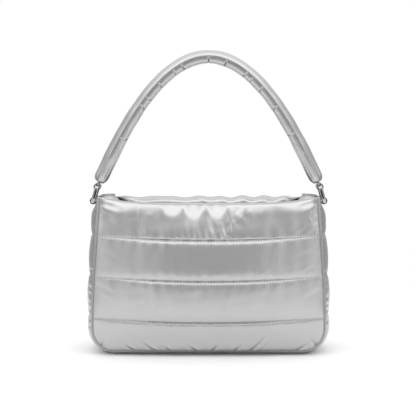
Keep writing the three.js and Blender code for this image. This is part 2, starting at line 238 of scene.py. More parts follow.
def ripple(x, seed, waves, shortest, longest):
    """A wandering line about 1 high: a sum of sines with seeded wavelengths and phases."""
    rng = np.random.default_rng(seed)
    lengths = rng.uniform(shortest, longest, waves)
    phases = rng.uniform(0, 2 * pi, waves)
    return np.sin(2 * pi * np.asarray(x)[..., None] / lengths + phases).sum(-1) / np.sqrt(waves)


print("a channel is", fullness(np.linspace(0, 1, 5)).round(2), "full at its quarters")


# %% Helpers for tables and samples
def smooth_table(keys, values, at):
    """A smooth curve through a table: cubic Hermite pieces, each slope taken from the two neighbours."""
    keys, values = np.asarray(keys, float), np.asarray(values, float)
    more_keys = np.concatenate([keys[:1], keys, keys[-1:]])
    more_values = np.concatenate([values[:1], values, values[-1:]])
    slopes = (more_values[2:] - more_values[:-2]) / (more_keys[2:] - more_keys[:-2])
    cell = np.clip(np.searchsorted(keys, at, "right") - 1, 0, len(keys) - 2)
    span = keys[cell + 1] - keys[cell]
    t = np.clip((at - keys[cell]) / span, 0, 1)
    return (
        values[cell] * (2 * t**3 - 3 * t**2 + 1)
        + slopes[cell] * span * (t**3 - 2 * t**2 + t)
        + values[cell + 1] * (3 * t**2 - 2 * t**3)
        + slopes[cell + 1] * span * (t**3 - t**2)
    )


def between_samples(samples, at):
    """Samples read between their places: Catmull-Rom cubics along the first axis, straight at its ends."""
    more = np.concatenate([2 * samples[:1] - samples[1:2], samples, 2 * samples[-1:] - samples[-2:-1]])
    cell = np.clip(np.floor(at).astype(int), 0, len(samples) - 2)
    t = (at - cell).reshape(-1, *[1] * (samples.ndim - 1))
    a, b, c, d = (more[cell + k] for k in range(4))
    return b + 0.5 * t * (c - a + t * (2 * a - 5 * b + 4 * c - d + t * (3 * (b - c) + d - a)))


print("squares read at 1.5 and 2.5:", between_samples(np.arange(5.0) ** 2, np.array([1.5, 2.5])))


# %% Helpers for meshes
def grid_faces(rows, columns, wrap_rows=False, wrap_columns=False):
    """Quads of a grid: each joins a point, the next in its row and the two beside them in the next row."""
    index = np.arange(rows * columns).reshape(rows, columns)
    if wrap_rows:
        index = np.concatenate([index, index[:1]])
    if wrap_columns:
        index = np.concatenate([index, index[:, :1]], axis=1)
    corners = [index[:-1, :-1], index[:-1, 1:], index[1:, 1:], index[1:, :-1]]
    return np.stack(corners, -1).reshape(-1, 4)


def points_inwards(points, faces):
    """Whether faces point inwards: a . (b x c), summed over their triangles from the middle, is below 0."""
    a, b, c, d = (points[faces[:, k]] - points.mean(0) for k in range(4))
    return float((a * np.cross(b, c)).sum() + (a * np.cross(c, d)).sum()) < 0


def make_piece(name, points, faces, caps=(), cut=None, seam=None):
    """A mesh object from points in millimetres, quads and many-sided caps, with its cut and seam values."""
    points = np.asarray(points, float).reshape(-1, 3)
    every_face = faces.tolist() + [[int(corner) for corner in cap] for cap in caps]
    if points_inwards(points, faces):
        every_face = [face[::-1] for face in every_face]
    mesh = bpy.data.meshes.new(name)
    mesh.from_pydata(points * MM, [], every_face)
    mesh.polygons.foreach_set("use_smooth", np.ones(len(every_face), bool))
    if cut is not None:
        corner = np.empty(len(mesh.loops), np.int32)
        mesh.loops.foreach_get("vertex_index", corner)
        flat = (np.asarray(cut, float).reshape(-1, 2) * MM)[corner]
        layer = mesh.uv_layers.new(name="cut")
        layer.data.foreach_set("uv", flat.astype(np.float32).ravel())
    if seam is not None:
        # The attribute seam holds painted shade, which the cloth's colour reads.
        sewn = mesh.attributes.new("seam", "FLOAT", "POINT")
        sewn.data.foreach_set("value", np.asarray(seam, np.float32).ravel())
    mesh.update()
    piece = bpy.data.objects.new(name, mesh)
    bpy.context.scene.collection.objects.link(piece)
    print(name, len(points), "points,", len(every_face), "faces")
    return piece


def make_tube(name, points, cut, seam):
    """A grid whose rows are closed outlines, with a cap on its first row and one on its last."""
    rows, columns = points.shape[:2]
    index = np.arange(rows * columns).reshape(rows, columns)
    faces = grid_faces(rows, columns, wrap_columns=True)
    return make_piece(name, points, faces, [index[0, ::-1], index[-1]], cut, seam)


print("a grid of 3 by 4 points has", len(grid_faces(3, 4)), "faces")

# %% [markdown]
# ## Floor
# The floor is one sheet of white paper. The lower half of each puff shows it, so its size counts: it runs
# well to the front, which lights the puffs from below, but only a little to the sides. A larger sheet would
# look the same to the camera and would turn the gusset white.

# %% Floor
FLOOR_FRONT, FLOOR_BACK, FLOOR_SIDE = -1000.0, 420.0, 420.0
FLOOR_STEPS = 9
across, along = np.meshgrid(np.linspace(-1, 1, FLOOR_STEPS), np.linspace(0, 1, FLOOR_STEPS))
floor_points = np.stack(
    [across * FLOOR_SIDE, FLOOR_FRONT + along * (FLOOR_BACK - FLOOR_FRONT), 0 * across], -1
)
floor = make_piece("floor", floor_points, grid_faces(FLOOR_STEPS, FLOOR_STEPS))
paper = bpy.data.materials.new("white_paper")
tree = new_tree(paper)
fibres = Socket.node(tree, "ShaderNodeTexCoord", output="Object").noise(60.0)
finish_surface(tree, {"Base Color": (0.96, 0.96, 0.955, 1), "Roughness": 0.75 + fibres * 0.1})
floor.data.materials.append(paper)

# %% [markdown]
# ## Silver cloth
# The cloth is a dense nylon with a metal coating: a metal to the light, but brushed by its weave, so it
# has a broad soft sheen and no mirror image. A picture of cloth would stretch over the puffs. Formulas
# don't: the weave follows the flat cut of each piece, and fine crinkles and a slow change of tone come from
# noise. The attribute seam holds painted shade: there the cloth is darker, and a little rougher, along the
# sewn lines, under stitches, in creases and along the edges of bands.

# %% Silver cloth
WEAVE = 0.7 * MM  # two threads of the weave
WEAVE_HEIGHT, CRINKLE_HEIGHT = 0.002, 0.14
SILVER = (0.53, 0.53, 0.531)
PAINTED_SHADE_TONE = 0.4  # share of its tone that cloth keeps under the deepest painted shade


def silver_cloth(name, gloss):
    """The coated cloth: weave sin(u) sin(v) on the cut, crinkles and tone from noise, painted shade from
    seam.
    """
    material = bpy.data.materials.new(name)
    tree = new_tree(material)
    flat = Socket.node(tree, "ShaderNodeUVMap", {"uv_map": "cut"})
    u, v = flat.part("X") * (2 * pi / WEAVE), flat.part("Y") * (2 * pi / WEAVE)
    weave = u.maths("SINE", u) * v.maths("SINE", v)
    place = Socket.node(tree, "ShaderNodeTexCoord", output="Object")
    crinkle = place.noise(75.0, 1.5, 0.45)
    cloud = place.noise(22.0)
    # sewn reads the painted shade that the attribute seam holds
    sewn = Socket.node(tree, "ShaderNodeAttribute", {"attribute_name": "seam"}, output="Fac")
    relief = weave * (WEAVE_HEIGHT * MM) + crinkle * (CRINKLE_HEIGHT * MM)
    normal = Socket.node(
        tree, "ShaderNodeBump", inputs={"Strength": 1.0, "Distance": 1.0, "Height": relief}
    )
    # Painted shade darkens the colour where seam is high; the cloud varies the tone at random.
    shade = mixed_colour(sewn * 0.15 + cloud * 0.1, SILVER, [PAINTED_SHADE_TONE * part for part in SILVER])
    roughness = gloss + cloud * 0.06 + sewn * 0.1
    values = {"Base Color": shade, "Metallic": 0.92, "Roughness": roughness, "Normal": normal}
    finish_surface(tree, values)
    return material


quilted_cloth = silver_cloth("quilted_cloth", 0.27)
handle_cloth = silver_cloth("handle_cloth", 0.25)

# %% [markdown]
# ## The body's sections
# Both panels and the gusset meet along one seam. Each could be given a shape of its own, but then the seam
# would gape, so they share one table: how far the seam lies from the middle at each height, how far a panel
# bows past it and how far the gusset stands out past it.

# %% Sections of the body
BODY_HEIGHT = [0, 45, 95, 145, 172, 196]
HALF_WIDTH = [142, 141.5, 139.5, 136, 134.2, 133]
HALF_DEPTH = [36, 41, 40, 35, 29.5, 24]
BOW = [0, 6, 7, 4, -1, -6]
SIDE_BULGE = [8.5, 9, 9.5, 10, 10, 10]
CLOTH = 2.0  # thickness of the cloth along a seam
SEAM_GAP = 0.3  # what two sewn pieces keep apart
BASE_SEAM, CORNER = 6.0, 27.0  # height of the lower seam, and radius of the lower corners


def section(column, height):
    """One column of the sections at any height, on a smooth curve through the table."""
    return smooth_table(BODY_HEIGHT, column, height)


def panel_half_width(height, inset):
    """Half the panel's width: the seam's, or below the corner's centre a quarter circle of its radius."""
    centre = BASE_SEAM + CORNER
    full = section(HALF_WIDTH, np.maximum(height, centre))
    radius = CORNER - inset
    drop = np.clip(centre - height, 0, radius)
    return full - CORNER + np.sqrt(radius**2 - drop**2)


print("half width of a panel at 10 and 100 mm:", panel_half_width(np.array([10, 100]), 0).round(1))

# %% [markdown]
# ## A panel, sewn into four channels
# A panel is two layers of cloth with padding between them, sewn together along three level lines. Between
# two lines it puffs out, and along its rim it is gathered. It could be sculpted by hand. Here the face is a
# function of two numbers, so that every line can be moved: across, from one side seam to the other, and
# level, which counts channels from the lower seam to the rim.

# %% The panel's lines
LINE_HEIGHT = np.array([6, 43, 93.8, 143])
LINE_RISE = np.array([0, 4.8, 4.8, 4.8])  # how much higher a line ends at the side seams
# Each rim: height at mid-width, how much higher it ends at the side seams and by which power of the way
# there, and how far it rolls into the mouth.
RIM = {-1: (186, 7.6, 5, 5), 1: (189.7, 0.4, 6, 12)}
RIM_WAVE = {-1: 0.1, 1: 1.0}  # how high each rim waves
RIM_REACH = 136  # half the length of a rim


def panel_lines(side, across):
    """Heights of the sewn lines, rising as a^2 to the side seams, and of the rim: |a|^power and a wave."""
    height, rise, power, _ = RIM[side]
    lines = LINE_HEIGHT + LINE_RISE * (across**2)[..., None]
    wave = RIM_WAVE[side] * ripple(across * RIM_REACH, 50 + side, 5, 16, 60) * (1 - across**6)
    return np.concatenate([lines, (height + rise * np.abs(across) ** power + wave)[..., None]], -1)


print("lines of the front at mid-width:", panel_lines(-1, np.zeros(1))[0].round(1))

# %% Puffs, gathers and rolled corners
PUFF_OUT = np.array([7.5, 8, 8, 7])
PUFF_IN = np.array([2, 2.5, 2.5, 3])
RIM_FALL = 0.35  # share of the top channel's puff that is gone at the rim
CORNER_ROLL = 4.2  # how far a rim leans in between its gathers and the side seam
# Gathers below a rim: place, half width and depth at the rim, and share of the channel they reach down.
GATHERS = {
    -1: [
        (-72, 17, 2.5, 0.28),
        (-45, 15, 4.5, 0.34),
        (-18, 13, 6.5, 0.44),
        (10, 13, 6.0, 0.4),
        (33, 11, 2.6, 0.42),
        (58, 24, 2.0, 0.22),
    ],
    1: [
        (-58, 16, 3.0, 0.3),
        (-30, 14, 4.5, 0.36),
        (-3, 13, 5.5, 0.4),
        (24, 14, 5.0, 0.36),
        (52, 16, 3.5, 0.3),
    ],
}


def channel_fullness(channel, share):
    """Fullness of any channel: steeper at the foot of the lowest, and falling just at the rim of the top."""
    rim = 1 - RIM_FALL * (2 * share - 1) ** 20
    full = fullness(share, np.where(channel == 0, 7, 4.5))
    return np.where((channel == 3) & (share > 0.5), rim, full)


def corner_roll(across, share):
    """How far a rim leans into the mouth beside its gathers: the square of the way up the last third."""
    place = smoothstep(np.abs(across), 0.5, 0.82) * (1 - smoothstep(np.abs(across), 0.92, 0.985))
    return CORNER_ROLL * place * np.clip((share - 0.66) / 0.34, 0, 1) ** 2


def gather_depth(side, x, share):
    """Dents below a rim: deepest at the rim, and narrower and shallower on their way down."""
    total = 0
    for at, half, depth, reach in GATHERS[side]:
        down = np.clip((share - 1 + reach) / reach, 0, 1)
        total = total + depth * down * hump(x - at, half * (0.45 + 0.8 * down))
    return total


print(len(GATHERS[-1]), "gathers in the front rim and", len(GATHERS[1]), "in the back one")

# %% A panel's two faces
LINE_SLACK = 0.5  # share of a puff that the outer cloth keeps where it is sewn
SIDE_FLAT = 0.35  # share of a puff that is gone near the side seams


def panel_face(side, across, level, outside, swell=1.0):
    """A panel's face: the seam's depth, a bow 1 - a^2 and the channel's puff, less gathers and rolls."""
    channel = np.clip(np.floor(level).astype(int), 0, 3)
    share = level - channel
    top = channel == 3
    inset = (0 if outside else CLOTH) + SEAM_GAP / 2
    lines = panel_lines(side, across)
    lower = np.take_along_axis(lines, channel[..., None], -1)[..., 0]
    upper = np.take_along_axis(lines, channel[..., None] + 1, -1)[..., 0]
    height = lower + (upper - lower) * share + inset * (1 - smoothstep(level, 0, 0.5))
    x = across * panel_half_width(height, inset)
    fade = np.sqrt(np.clip(1 - across**4, 0, None))
    full = channel_fullness(channel, share)
    gather = top * gather_depth(side, x, share)
    depth = section(HALF_DEPTH, height) + section(BOW, height) * (1 - across**2)
    depth = depth - top * corner_roll(across, share)
    if outside:
        fade = fade * (1 - SIDE_FLAT * smoothstep(np.abs(across), 0.35, 0.85))
        full = 1 - (1 - full) * (1 - LINE_SLACK * smoothstep(level, 0.3, 0.8))
        depth = depth + (PUFF_OUT[channel] * full * swell - gather) * fade
    else:
        # The inner cloth rolls into the mouth below the rim and comes back to it at the top.
        rolling = smoothstep(share, 0.35, 0.75) - 0.9 * np.clip(4 * share - 3, 0, 1) ** 2
        rolling = rolling * (1 - 0.9 * smoothstep(np.abs(across), 0.74, 0.9))
        roll = top * RIM[side][3] * rolling
        depth = depth - CLOTH - (PUFF_IN[channel] * full + roll + gather * 0.5) * fade
    return np.stack([x, side * (depth + SEAM_GAP / 2), height], -1)


print("middle of the lowest puff:", panel_face(-1, np.zeros(1), np.full(1, 0.5), True)[0].round(1))

# %% [markdown]
# ## Letting the cloth settle
# Padding pushes the cloth out and the stitches hold it back, which leaves wrinkles that no formula would
# hit on. Blender's Cloth works them out: the sewn grid starts a little flat, its springs take their lengths
# from the flat cut, which is longer, and pressure blows it up until the cloth is taut. The stitched points
# stay where they are.

# %% Cloth simulation
SETTLE_STEPS = 12
CLOTH_SETTINGS = {
    "quality": 5,
    "mass": 0.05,
    "tension_stiffness": 15,
    "compression_stiffness": 15,
    "shear_stiffness": 5,
    "bending_stiffness": 0.01,
    "vertex_group_mass": "stitched",
    "use_pressure": True,
}


def trial_cloth(name, sewn, cut, held, pressure):
    """A sewn grid as cloth: its springs are as long as in the flat cut, and stitched points are held."""
    mesh = bpy.data.meshes.new(name)
    mesh.from_pydata(sewn.reshape(-1, 3) * MM, [], grid_faces(*sewn.shape[:2]).tolist())
    trial = bpy.data.objects.new(name, mesh)
    bpy.context.scene.collection.objects.link(trial)
    trial.shape_key_add(name="sewn")
    rest = trial.shape_key_add(name="cut")
    rest.data.foreach_set("co", (cut * MM).astype(np.float32).ravel())
    rest.value = 0
    pins = trial.vertex_groups.new(name="stitched")
    pins.add(np.flatnonzero(held).tolist(), 1.0, "REPLACE")
    cloth = trial.modifiers.new("cloth", "CLOTH")
    for setting, value in CLOTH_SETTINGS.items():
        setattr(cloth.settings, setting, value)
    cloth.settings.rest_shape_key = rest
    cloth.settings.uniform_pressure_force = pressure
    cloth.settings.effector_weights.gravity = 0
    cloth.collision_settings.use_collision = False
    cloth.point_cache.frame_start, cloth.point_cache.frame_end = 1, SETTLE_STEPS
    return trial


def settle(name, sewn, cut, held, pressure, cap):
    """How far each point of a sewn grid moves when it is blown up, in millimetres and at most the cap."""
    trial = trial_cloth(name, sewn, cut, held, pressure)
    mesh = trial.data
    for step in range(1, SETTLE_STEPS + 1):
        bpy.context.scene.frame_set(step)
    settled = np.empty(sewn.size, np.float32)
    shaped = trial.evaluated_get(bpy.context.evaluated_depsgraph_get())
    shaped.data.vertices.foreach_get("co", settled)
    moved = settled.reshape(sewn.shape) / MM - sewn
    bpy.data.objects.remove(trial)
    bpy.data.meshes.remove(mesh)
    bpy.context.scene.frame_set(1)
    length = np.linalg.norm(moved, axis=-1, keepdims=True)
    print(name, "moved", length.mean().round(2), "on average and", length.max().round(2), "at most")
    return moved * np.minimum(1, cap / np.maximum(length, 1e-9))


# %% [markdown]
# ## Folds that were pressed in
# Some folds belong to this one bag: small creases that run up from a sewn line, pulls at the side seams and
# dents at the lower edge. The simulation can't know them, so a table gives them one by one. Each is a
# groove along a straight line that fades out at its far end, with a low ridge beside it where the cloth
# went. A negative depth makes a soft ridge instead.


# %% Creases
def crease_depth(x, z, creases):
    """Depth of all creases: e^-(s/w)^2 across a line, less 0.45 of it 1.8 w beside, and 1 - t^2 along it."""
    total = np.zeros_like(x)
    for x0, z0, x1, z1, depth, width in creases:
        length = np.hypot(x1 - x0, z1 - z0)
        ux, uz = (x1 - x0) / length, (z1 - z0) / length
        along = ((x - x0) * ux + (z - z0) * uz) / length
        aside = (x - x0) * uz - (z - z0) * ux
        start = smoothstep(along, -width / length, 0)
        fade = start * np.clip(1 - np.clip(along, 0, None) ** 2, 0, None)
        groove = np.exp(-((aside / width) ** 2)) - 0.45 * np.exp(-(((aside - 1.8 * width) / width) ** 2))
        total += depth * groove * fade
    return total


# Each crease: from x, z to x, z, depth, half width.
CREASES = {
    -1: [
        (3, 144, -5, 174, -0.9, 4.5),
        (19, 144, 13, 165, -0.8, 3.0),
        (20, 144, 27, 160, -0.7, 3.0),
        (-28, 144, -32, 174, -0.8, 5.0),
        (-13, 144, -18, 164, -0.55, 4.0),
        (35, 174, 48, 160, -0.7, 3.5),
        (-52, 144, -58, 168, -0.5, 6.0),
        (17, 144, 13, 153, 0.7, 2.0),
        (21, 144, 25, 152, 0.7, 2.0),
        (-98, 192, -104, 148, -0.6, 8.0),
        (94, 190, 101, 148, -0.6, 8.0),
        (131, 178, 98, 155, 0.6, 3.0),
        (132, 166, 106, 149, 0.6, 2.4),
        (133, 158, 118, 149, 0.5, 2.0),
        (134, 131, 98, 120, 0.4, 2.8),
        (135, 115, 112, 102, 0.4, 2.2),
        (136, 82, 114, 71, 0.4, 2.6),
        (-131, 187, -102, 178, 0.9, 3.0),
        (-131, 176, -112, 164, 0.7, 2.6),
        (131, 188, 104, 180, 0.8, 3.0),
        (-134, 132, -110, 121, 0.4, 2.6),
        (-135, 88, -112, 77, 0.4, 2.6),
        (50, 5, 73, 27, 2.4, 1.9),
        (30, 5, 41, 15, 2.2, 1.8),
        (3, 5, 13, 15, 2.2, 1.8),
        (-14, 5, -27, 15, 2.0, 1.8),
        (-46, 5, -57, 14, 2.2, 1.8),
        (-64, 5, -82, 17, 2.4, 1.8),
        (-90, 5, -104, 14, 2.0, 1.8),
        (108, 6, 124, 16, 2.2, 1.8),
        (-133, 13, -124, 21, 3.0, 1.6),
        (133, 13, 124, 21, 3.0, 1.6),
    ],
    1: [
        (-8, 144, 4, 163, 1.4, 2.6),
        (22, 144, 10, 161, 1.2, 2.8),
        (-34, 144, -24, 159, 1.0, 2.8),
        (131, 174, 100, 155, 0.9, 3.4),
        (-132, 170, -104, 152, 0.9, 3.2),
        (134, 125, 104, 113, 0.7, 3.2),
        (-135, 83, -108, 71, 0.7, 3.0),
        (70, 6, 58, 18, 1.4, 2.4),
        (14, 6, 24, 17, 1.3, 2.4),
        (-40, 6, -50, 17, 1.4, 2.4),
        (-92, 6, -84, 16, 1.3, 2.4),
    ],
}
print(len(CREASES[-1]), "creases in the front panel and", len(CREASES[1]), "in the back one")

# %% [markdown]
# ## Front and back panel
# A panel is laid out twice. A coarse grid settles as cloth, and its movement is read off between the
# samples. The finer formula already has the puff, so only the wrinkles of that movement are added to it.
# Puckers follow: at every stitch the thread draws the cloth in, and short ridges stand between the stitches.
# Handling leaves crumples in no order. Last, the face is carried over the rim to the inside on smooth
# cubics, and small faces close the two sides. A subdivided box would have rims as thick as its walls.

# %% Rows of a panel and its flat cut
STITCH = 3.37  # from one stitch to the next
TRIAL_COLUMNS, TRIAL_ROWS = 141, 20  # of the coarse grid, its rows in each channel
COLUMNS, ROWS = 561, 24  # of the fine one
EVEN_STEPS = 0.35  # share of even steps from row to row
CUT_WIDTH, GATHERED = 1.03, 8.0  # the cut is 3% wider than the panel, and its rim by 8 mm more each way


def channel_levels(rows):
    """Levels of a face's rows: in each channel an even step mixed with a cosine, so closer at the lines."""
    step = np.linspace(0, 1, rows + 1)[:-1]
    share = EVEN_STEPS * step + (1 - EVEN_STEPS) * (0.5 - 0.5 * np.cos(pi * step))
    return np.append((np.arange(4)[:, None] + share).ravel(), 4)


def run_along(points, axis):
    """How far each point lies from the first one along an axis of a grid, measured over the surface."""
    step = np.linalg.norm(np.diff(points, axis=axis), axis=-1)
    return np.insert(np.cumsum(step, axis), 0, 0, axis)


def panel_cut(points, level):
    """The flat cut: the width with some to spare, tanh x more at the rim, and the length over the puffs."""
    x = points[..., 0]
    width = x * CUT_WIDTH + GATHERED * smoothstep(level, 3, 4) * np.tanh(x / 45)
    return np.stack([width, 0 * width, run_along(points, 0)], -1)


print("a panel has", len(channel_levels(ROWS)), "rows of", COLUMNS, "points outside")

# %% Let the panels settle
SEWN_FLAT = 0.8  # share of its puff that a panel starts with
START_WAVE = 0.3  # height of the ripples at the lines from which wrinkles grow
MEAN_CHANNEL = 48  # height of a channel, roughly
PANEL_PRESSURE, PANEL_CAP = 700, 4.0  # pressure of the padding, and the longest movement that counts
WRINKLE_WINDOW, WRINKLE_SHARE = 31, 0.6  # columns a wrinkle is measured over, and how much of it is added


def settled_panel(side):
    """How far a coarse grid of a panel moves, sewn flatter, slightly rippled and then blown up again."""
    level = np.linspace(0, 4, 4 * TRIAL_ROWS + 1)
    across, level = np.meshgrid(np.linspace(-1, 1, TRIAL_COLUMNS) * -side, level)
    sewn = panel_face(side, across, level, True, SEWN_FLAT)
    cut = panel_cut(panel_face(side, across, level, True), level)
    held = np.zeros(level.shape, bool)
    held[::TRIAL_ROWS] = True
    held[:, [0, -1]] = True
    from_line = MEAN_CHANNEL * np.abs(level - np.round(level))
    wave = ripple(sewn[..., 0] + 0.35 * from_line, 7 + side, 9, 7, 26)
    wave = START_WAVE * wave * smoothstep(from_line, 0, 4) * np.exp(-from_line / 10) * ~held
    sewn[..., 1] += side * wave
    moved = settle("trial_panel", sewn, cut, held, PANEL_PRESSURE, PANEL_CAP)
    moved[..., 1] += side * wave
    return moved


def wrinkles(moved, window):
    """A movement less its average over a window along the rows: fine folds, without the general puff."""
    half = window // 2
    total = np.cumsum(np.pad(moved, ((0, 0), (half + 1, half), (0, 0)), "edge"), 1)
    fine = moved - (total[:, window:] - total[:, :-window]) / window
    print("wrinkles", np.abs(fine).max().round(2), "high at most,", fine.std().round(3), "on average")
    return fine


def fine_movement(moved):
    """A coarse grid's movement, read at the fine grid's places channel by channel, so lines stay sharp."""
    columns = np.arange(COLUMNS) * (TRIAL_COLUMNS - 1) / (COLUMNS - 1)
    moved = between_samples(moved.transpose(1, 0, 2), columns).transpose(1, 0, 2)
    share = channel_levels(ROWS)[:ROWS] * TRIAL_ROWS
    parts = [between_samples(moved[k * TRIAL_ROWS : (k + 1) * TRIAL_ROWS + 1], share) for k in range(4)]
    return np.concatenate([*parts, moved[-1:]])


panel_wrinkles = {side: fine_movement(wrinkles(settled_panel(side), WRINKLE_WINDOW)) for side in (-1, 1)}

# %% Wear from handling
CRUMPLE_WAVES = 7
DENT_HEIGHT, FOLD_HEIGHT = 0.07, 0.16
FOLD_WIDTH = 0.16  # how far the slower crumple rises from 0 to the side of a fold


def crumple(x, z, seed, shortest, longest):
    """Dents in no order, about 1 high: a sum of plane waves with seeded directions, phases and lengths."""
    rng = np.random.default_rng(seed)
    way, phase = rng.uniform(0, pi, CRUMPLE_WAVES), rng.uniform(0, 2 * pi, CRUMPLE_WAVES)
    length = rng.uniform(shortest, longest, CRUMPLE_WAVES)
    run = x[..., None] * np.cos(way) + z[..., None] * np.sin(way)
    return np.sin(2 * pi * run / length + phase).sum(-1) / np.sqrt(CRUMPLE_WAVES)


def handled_cloth(side, x, z):
    """What handling leaves: soft dents, and thin low folds along the zero lines of a slower crumple."""
    dents = crumple(x, z, 61 + side, 12, 40)
    folds = np.exp(-((crumple(x, z, 71 + side, 18, 50) / FOLD_WIDTH) ** 2))
    places = np.clip(crumple(x, z, 81 + side, 40, 90), 0, 1)
    return DENT_HEIGHT * dents + FOLD_HEIGHT * folds * places


sample = handled_cloth(-1, *np.meshgrid(np.arange(-130, 131, 2), np.arange(10, 180, 2)))
print("handling moves the front by", np.abs(sample).mean().round(3), "on average")

# %% A panel's outer face
PUCKER_OVER = np.array([0.1, 0.5, 0.5, 0.6])  # ridges over the line at a channel's foot
PUCKER_UNDER = np.array([0.8, 0.8, 0.95, 0.0])  # ridges under the line at its head
OVER_REACH, UNDER_REACH = 1.6, 2.2
CHANNEL_HEIGHT = np.array([37, 51, 49, 42])
SIDE_RUN = 140  # half the width of a panel, for lengths from its side seams
LINE_WIDTH, STITCH_SHADE_WIDTH, SIDE_WIDTH = 1.2, 2.4, 1.3  # widths of the painted shade along a line, under a stitch and at a side seam
STITCH_SHADE, SIDE_SEAM_SHADE = 2.8, 3.0  # painted shade under a stitch and at a side seam, as values of seam where a line has 1


def puckers(side, x, channel, below, above):
    """Ridges between stitches: 1 - cos along a line, and e^-(d/reach) away from it, 0 on the line itself."""
    comb = (0.5 - 0.5 * np.cos(2 * pi * x / STITCH)) * (0.65 + 0.35 * ripple(x, 31 + side, 5, 14, 60))
    over = PUCKER_OVER[channel] * np.exp(-below / OVER_REACH) * smoothstep(below, 0, 0.8)
    under = PUCKER_UNDER[channel] * np.exp(-above / UNDER_REACH) * smoothstep(above, 0, 0.8)
    return comb * (over + under)


def painted_line_shade(x, across, level, nearest, above):
    """Painted shade, as values of seam: Gaussians along lines, under each stitch and at the sides."""
    under_stitch = (0.5 + 0.5 * np.cos(2 * pi * x / STITCH)) ** 2 * (level < 3) * (level > 0.5)
    # drawn holds painted shade, not a change of shape.
    drawn = np.exp(-((nearest / LINE_WIDTH) ** 2)) + STITCH_SHADE * under_stitch * np.exp(-((above / STITCH_SHADE_WIDTH) ** 2))
    from_side = (1 - np.abs(across)) * SIDE_RUN
    return np.maximum(drawn, SIDE_SEAM_SHADE * np.exp(-((from_side / SIDE_WIDTH) ** 2)))


def outer_face(side, place):
    """The wrinkled face with puckers, creases and wear, and the painted shade at each of its points."""
    across, level = np.meshgrid(place, channel_levels(ROWS))
    face = panel_face(side, across, level, True) + WRINKLE_SHARE * panel_wrinkles[side]
    x, z = face[..., 0], face[..., 2]
    channel = np.clip(np.floor(level).astype(int), 0, 3)
    below = (level - channel) * CHANNEL_HEIGHT[channel]
    above = CHANNEL_HEIGHT[channel] - below
    nearest = np.where(channel < 3, np.minimum(below, above), below)
    dents = crease_depth(x, z, CREASES[side]) * smoothstep(nearest, 0, np.where(level < 0.5, 1.0, 2.5))
    worn = handled_cloth(side, x, z) * smoothstep(nearest, 0, 4) * (1 + (channel == 3))
    fade = 1 - smoothstep(np.abs(across), 0.985, 1)
    face[..., 1] += side * fade * (puckers(side, x, channel, below, above) - dents + worn)
    return face, painted_line_shade(x, across, level, nearest, above)


# %% The rim and the sides of a panel
ROLL_ROWS, RIM_PULL = 6, 0.17  # rows over the rim, and how far their cubics go on as the faces end
INNER_STEP = 8  # rows of the outer face for one of the inner face, below the top channel


def rolled_rim(outer, inner):
    """Rows over the rim: Bezier cubics that leave the outer face and meet the inner one along its slope."""
    t = np.linspace(0, 1, ROLL_ROWS + 2)[1:-1, None, None]
    reach = RIM_PULL * np.linalg.norm(outer[-1] - inner[0], axis=-1, keepdims=True)
    leave, arrive = outer[-1] - outer[-2], inner[0] - inner[1]
    leave = outer[-1] + reach * leave / np.linalg.norm(leave, axis=-1, keepdims=True)
    arrive = inner[0] + reach * arrive / np.linalg.norm(arrive, axis=-1, keepdims=True)
    ends = (1 - t) ** 3 * outer[-1] + t**3 * inner[0]
    return ends + 3 * (1 - t) * t * ((1 - t) * leave + t * arrive)


def side_caps(edge, matched):
    """Faces that close a side: one over the rim, then one from each row of the inner face to the next."""
    first = len(edge) - len(matched)
    steps = enumerate(zip(matched[:-1], matched[1:]))
    caps = [np.append(edge[low : high + 1], edge[[first + k, first + k + 1]]) for k, (high, low) in steps]
    return [edge[4 * ROWS : first + 1], *caps]


# %% Make the panels
def make_panel(side, name):
    """A panel's closed mesh: an outline of outer face, rolled rim and inner face, carried across the bag."""
    place = np.linspace(-1, 1, COLUMNS) * -side
    outer, drawn = outer_face(side, place)
    matched = np.append(np.arange(0, 3 * ROWS, INNER_STEP), np.arange(3 * ROWS, 4 * ROWS + 1))[::-1]
    inner = panel_face(side, *np.meshgrid(place, channel_levels(ROWS)[matched]), False)
    points = np.concatenate([outer, rolled_rim(outer, inner), inner])
    rows = len(points)
    index = np.arange(rows * COLUMNS).reshape(rows, COLUMNS)
    cut = np.stack([points[..., 0], run_along(points, 0)], -1)
    # The painted shade lies on the outer face only.
    seam = np.concatenate([drawn, np.zeros((rows - len(drawn), COLUMNS))])
    faces = grid_faces(rows, COLUMNS, wrap_rows=True)
    caps = [*side_caps(index[:, 0], matched), *[cap[::-1] for cap in side_caps(index[:, -1], matched)]]
    piece = make_piece(name, points, faces, caps, cut, seam)
    piece.data.materials.append(quilted_cloth)
    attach(piece, "root")
    return piece, outer


front_panel, front_face = make_panel(-1, "front_quilted_panel")
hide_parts("front_panel")
back_panel, back_face = make_panel(1, "back_quilted_panel")
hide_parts("back_panel")

# %% [markdown]
# ## Gusset
# The gusset is one long padded strip that runs down one side, under the bag and up the other. It is sewn
# to both panels, with a narrow welt stitched down beside each seam, quilted at the heights of the panels'
# lines, and folded inwards at the top of each side. Three flat pieces could stand in for it, but they would
# leave seams at the corners that the bag doesn't have. So its place is worked out from two numbers: the
# length along the seam from the middle of the base, and the share of the way from its middle to a panel.

# %% The gusset's path
GUSSET_TOP = 193.0
SIDE_LINES = np.array([47.8, 98.6, 147.8, GUSSET_TOP])
SIDE_LENGTH = GUSSET_TOP - BASE_SEAM - CORNER
CORNER_LENGTH = CORNER * pi / 2
BASE_HALF = float(section(HALF_WIDTH, BASE_SEAM + CORNER)) - CORNER
GUSSET_HALF = SIDE_LENGTH + CORNER_LENGTH + BASE_HALF
LINE_PUFF = 16.0  # how far below its lowest line the gusset takes to fill out


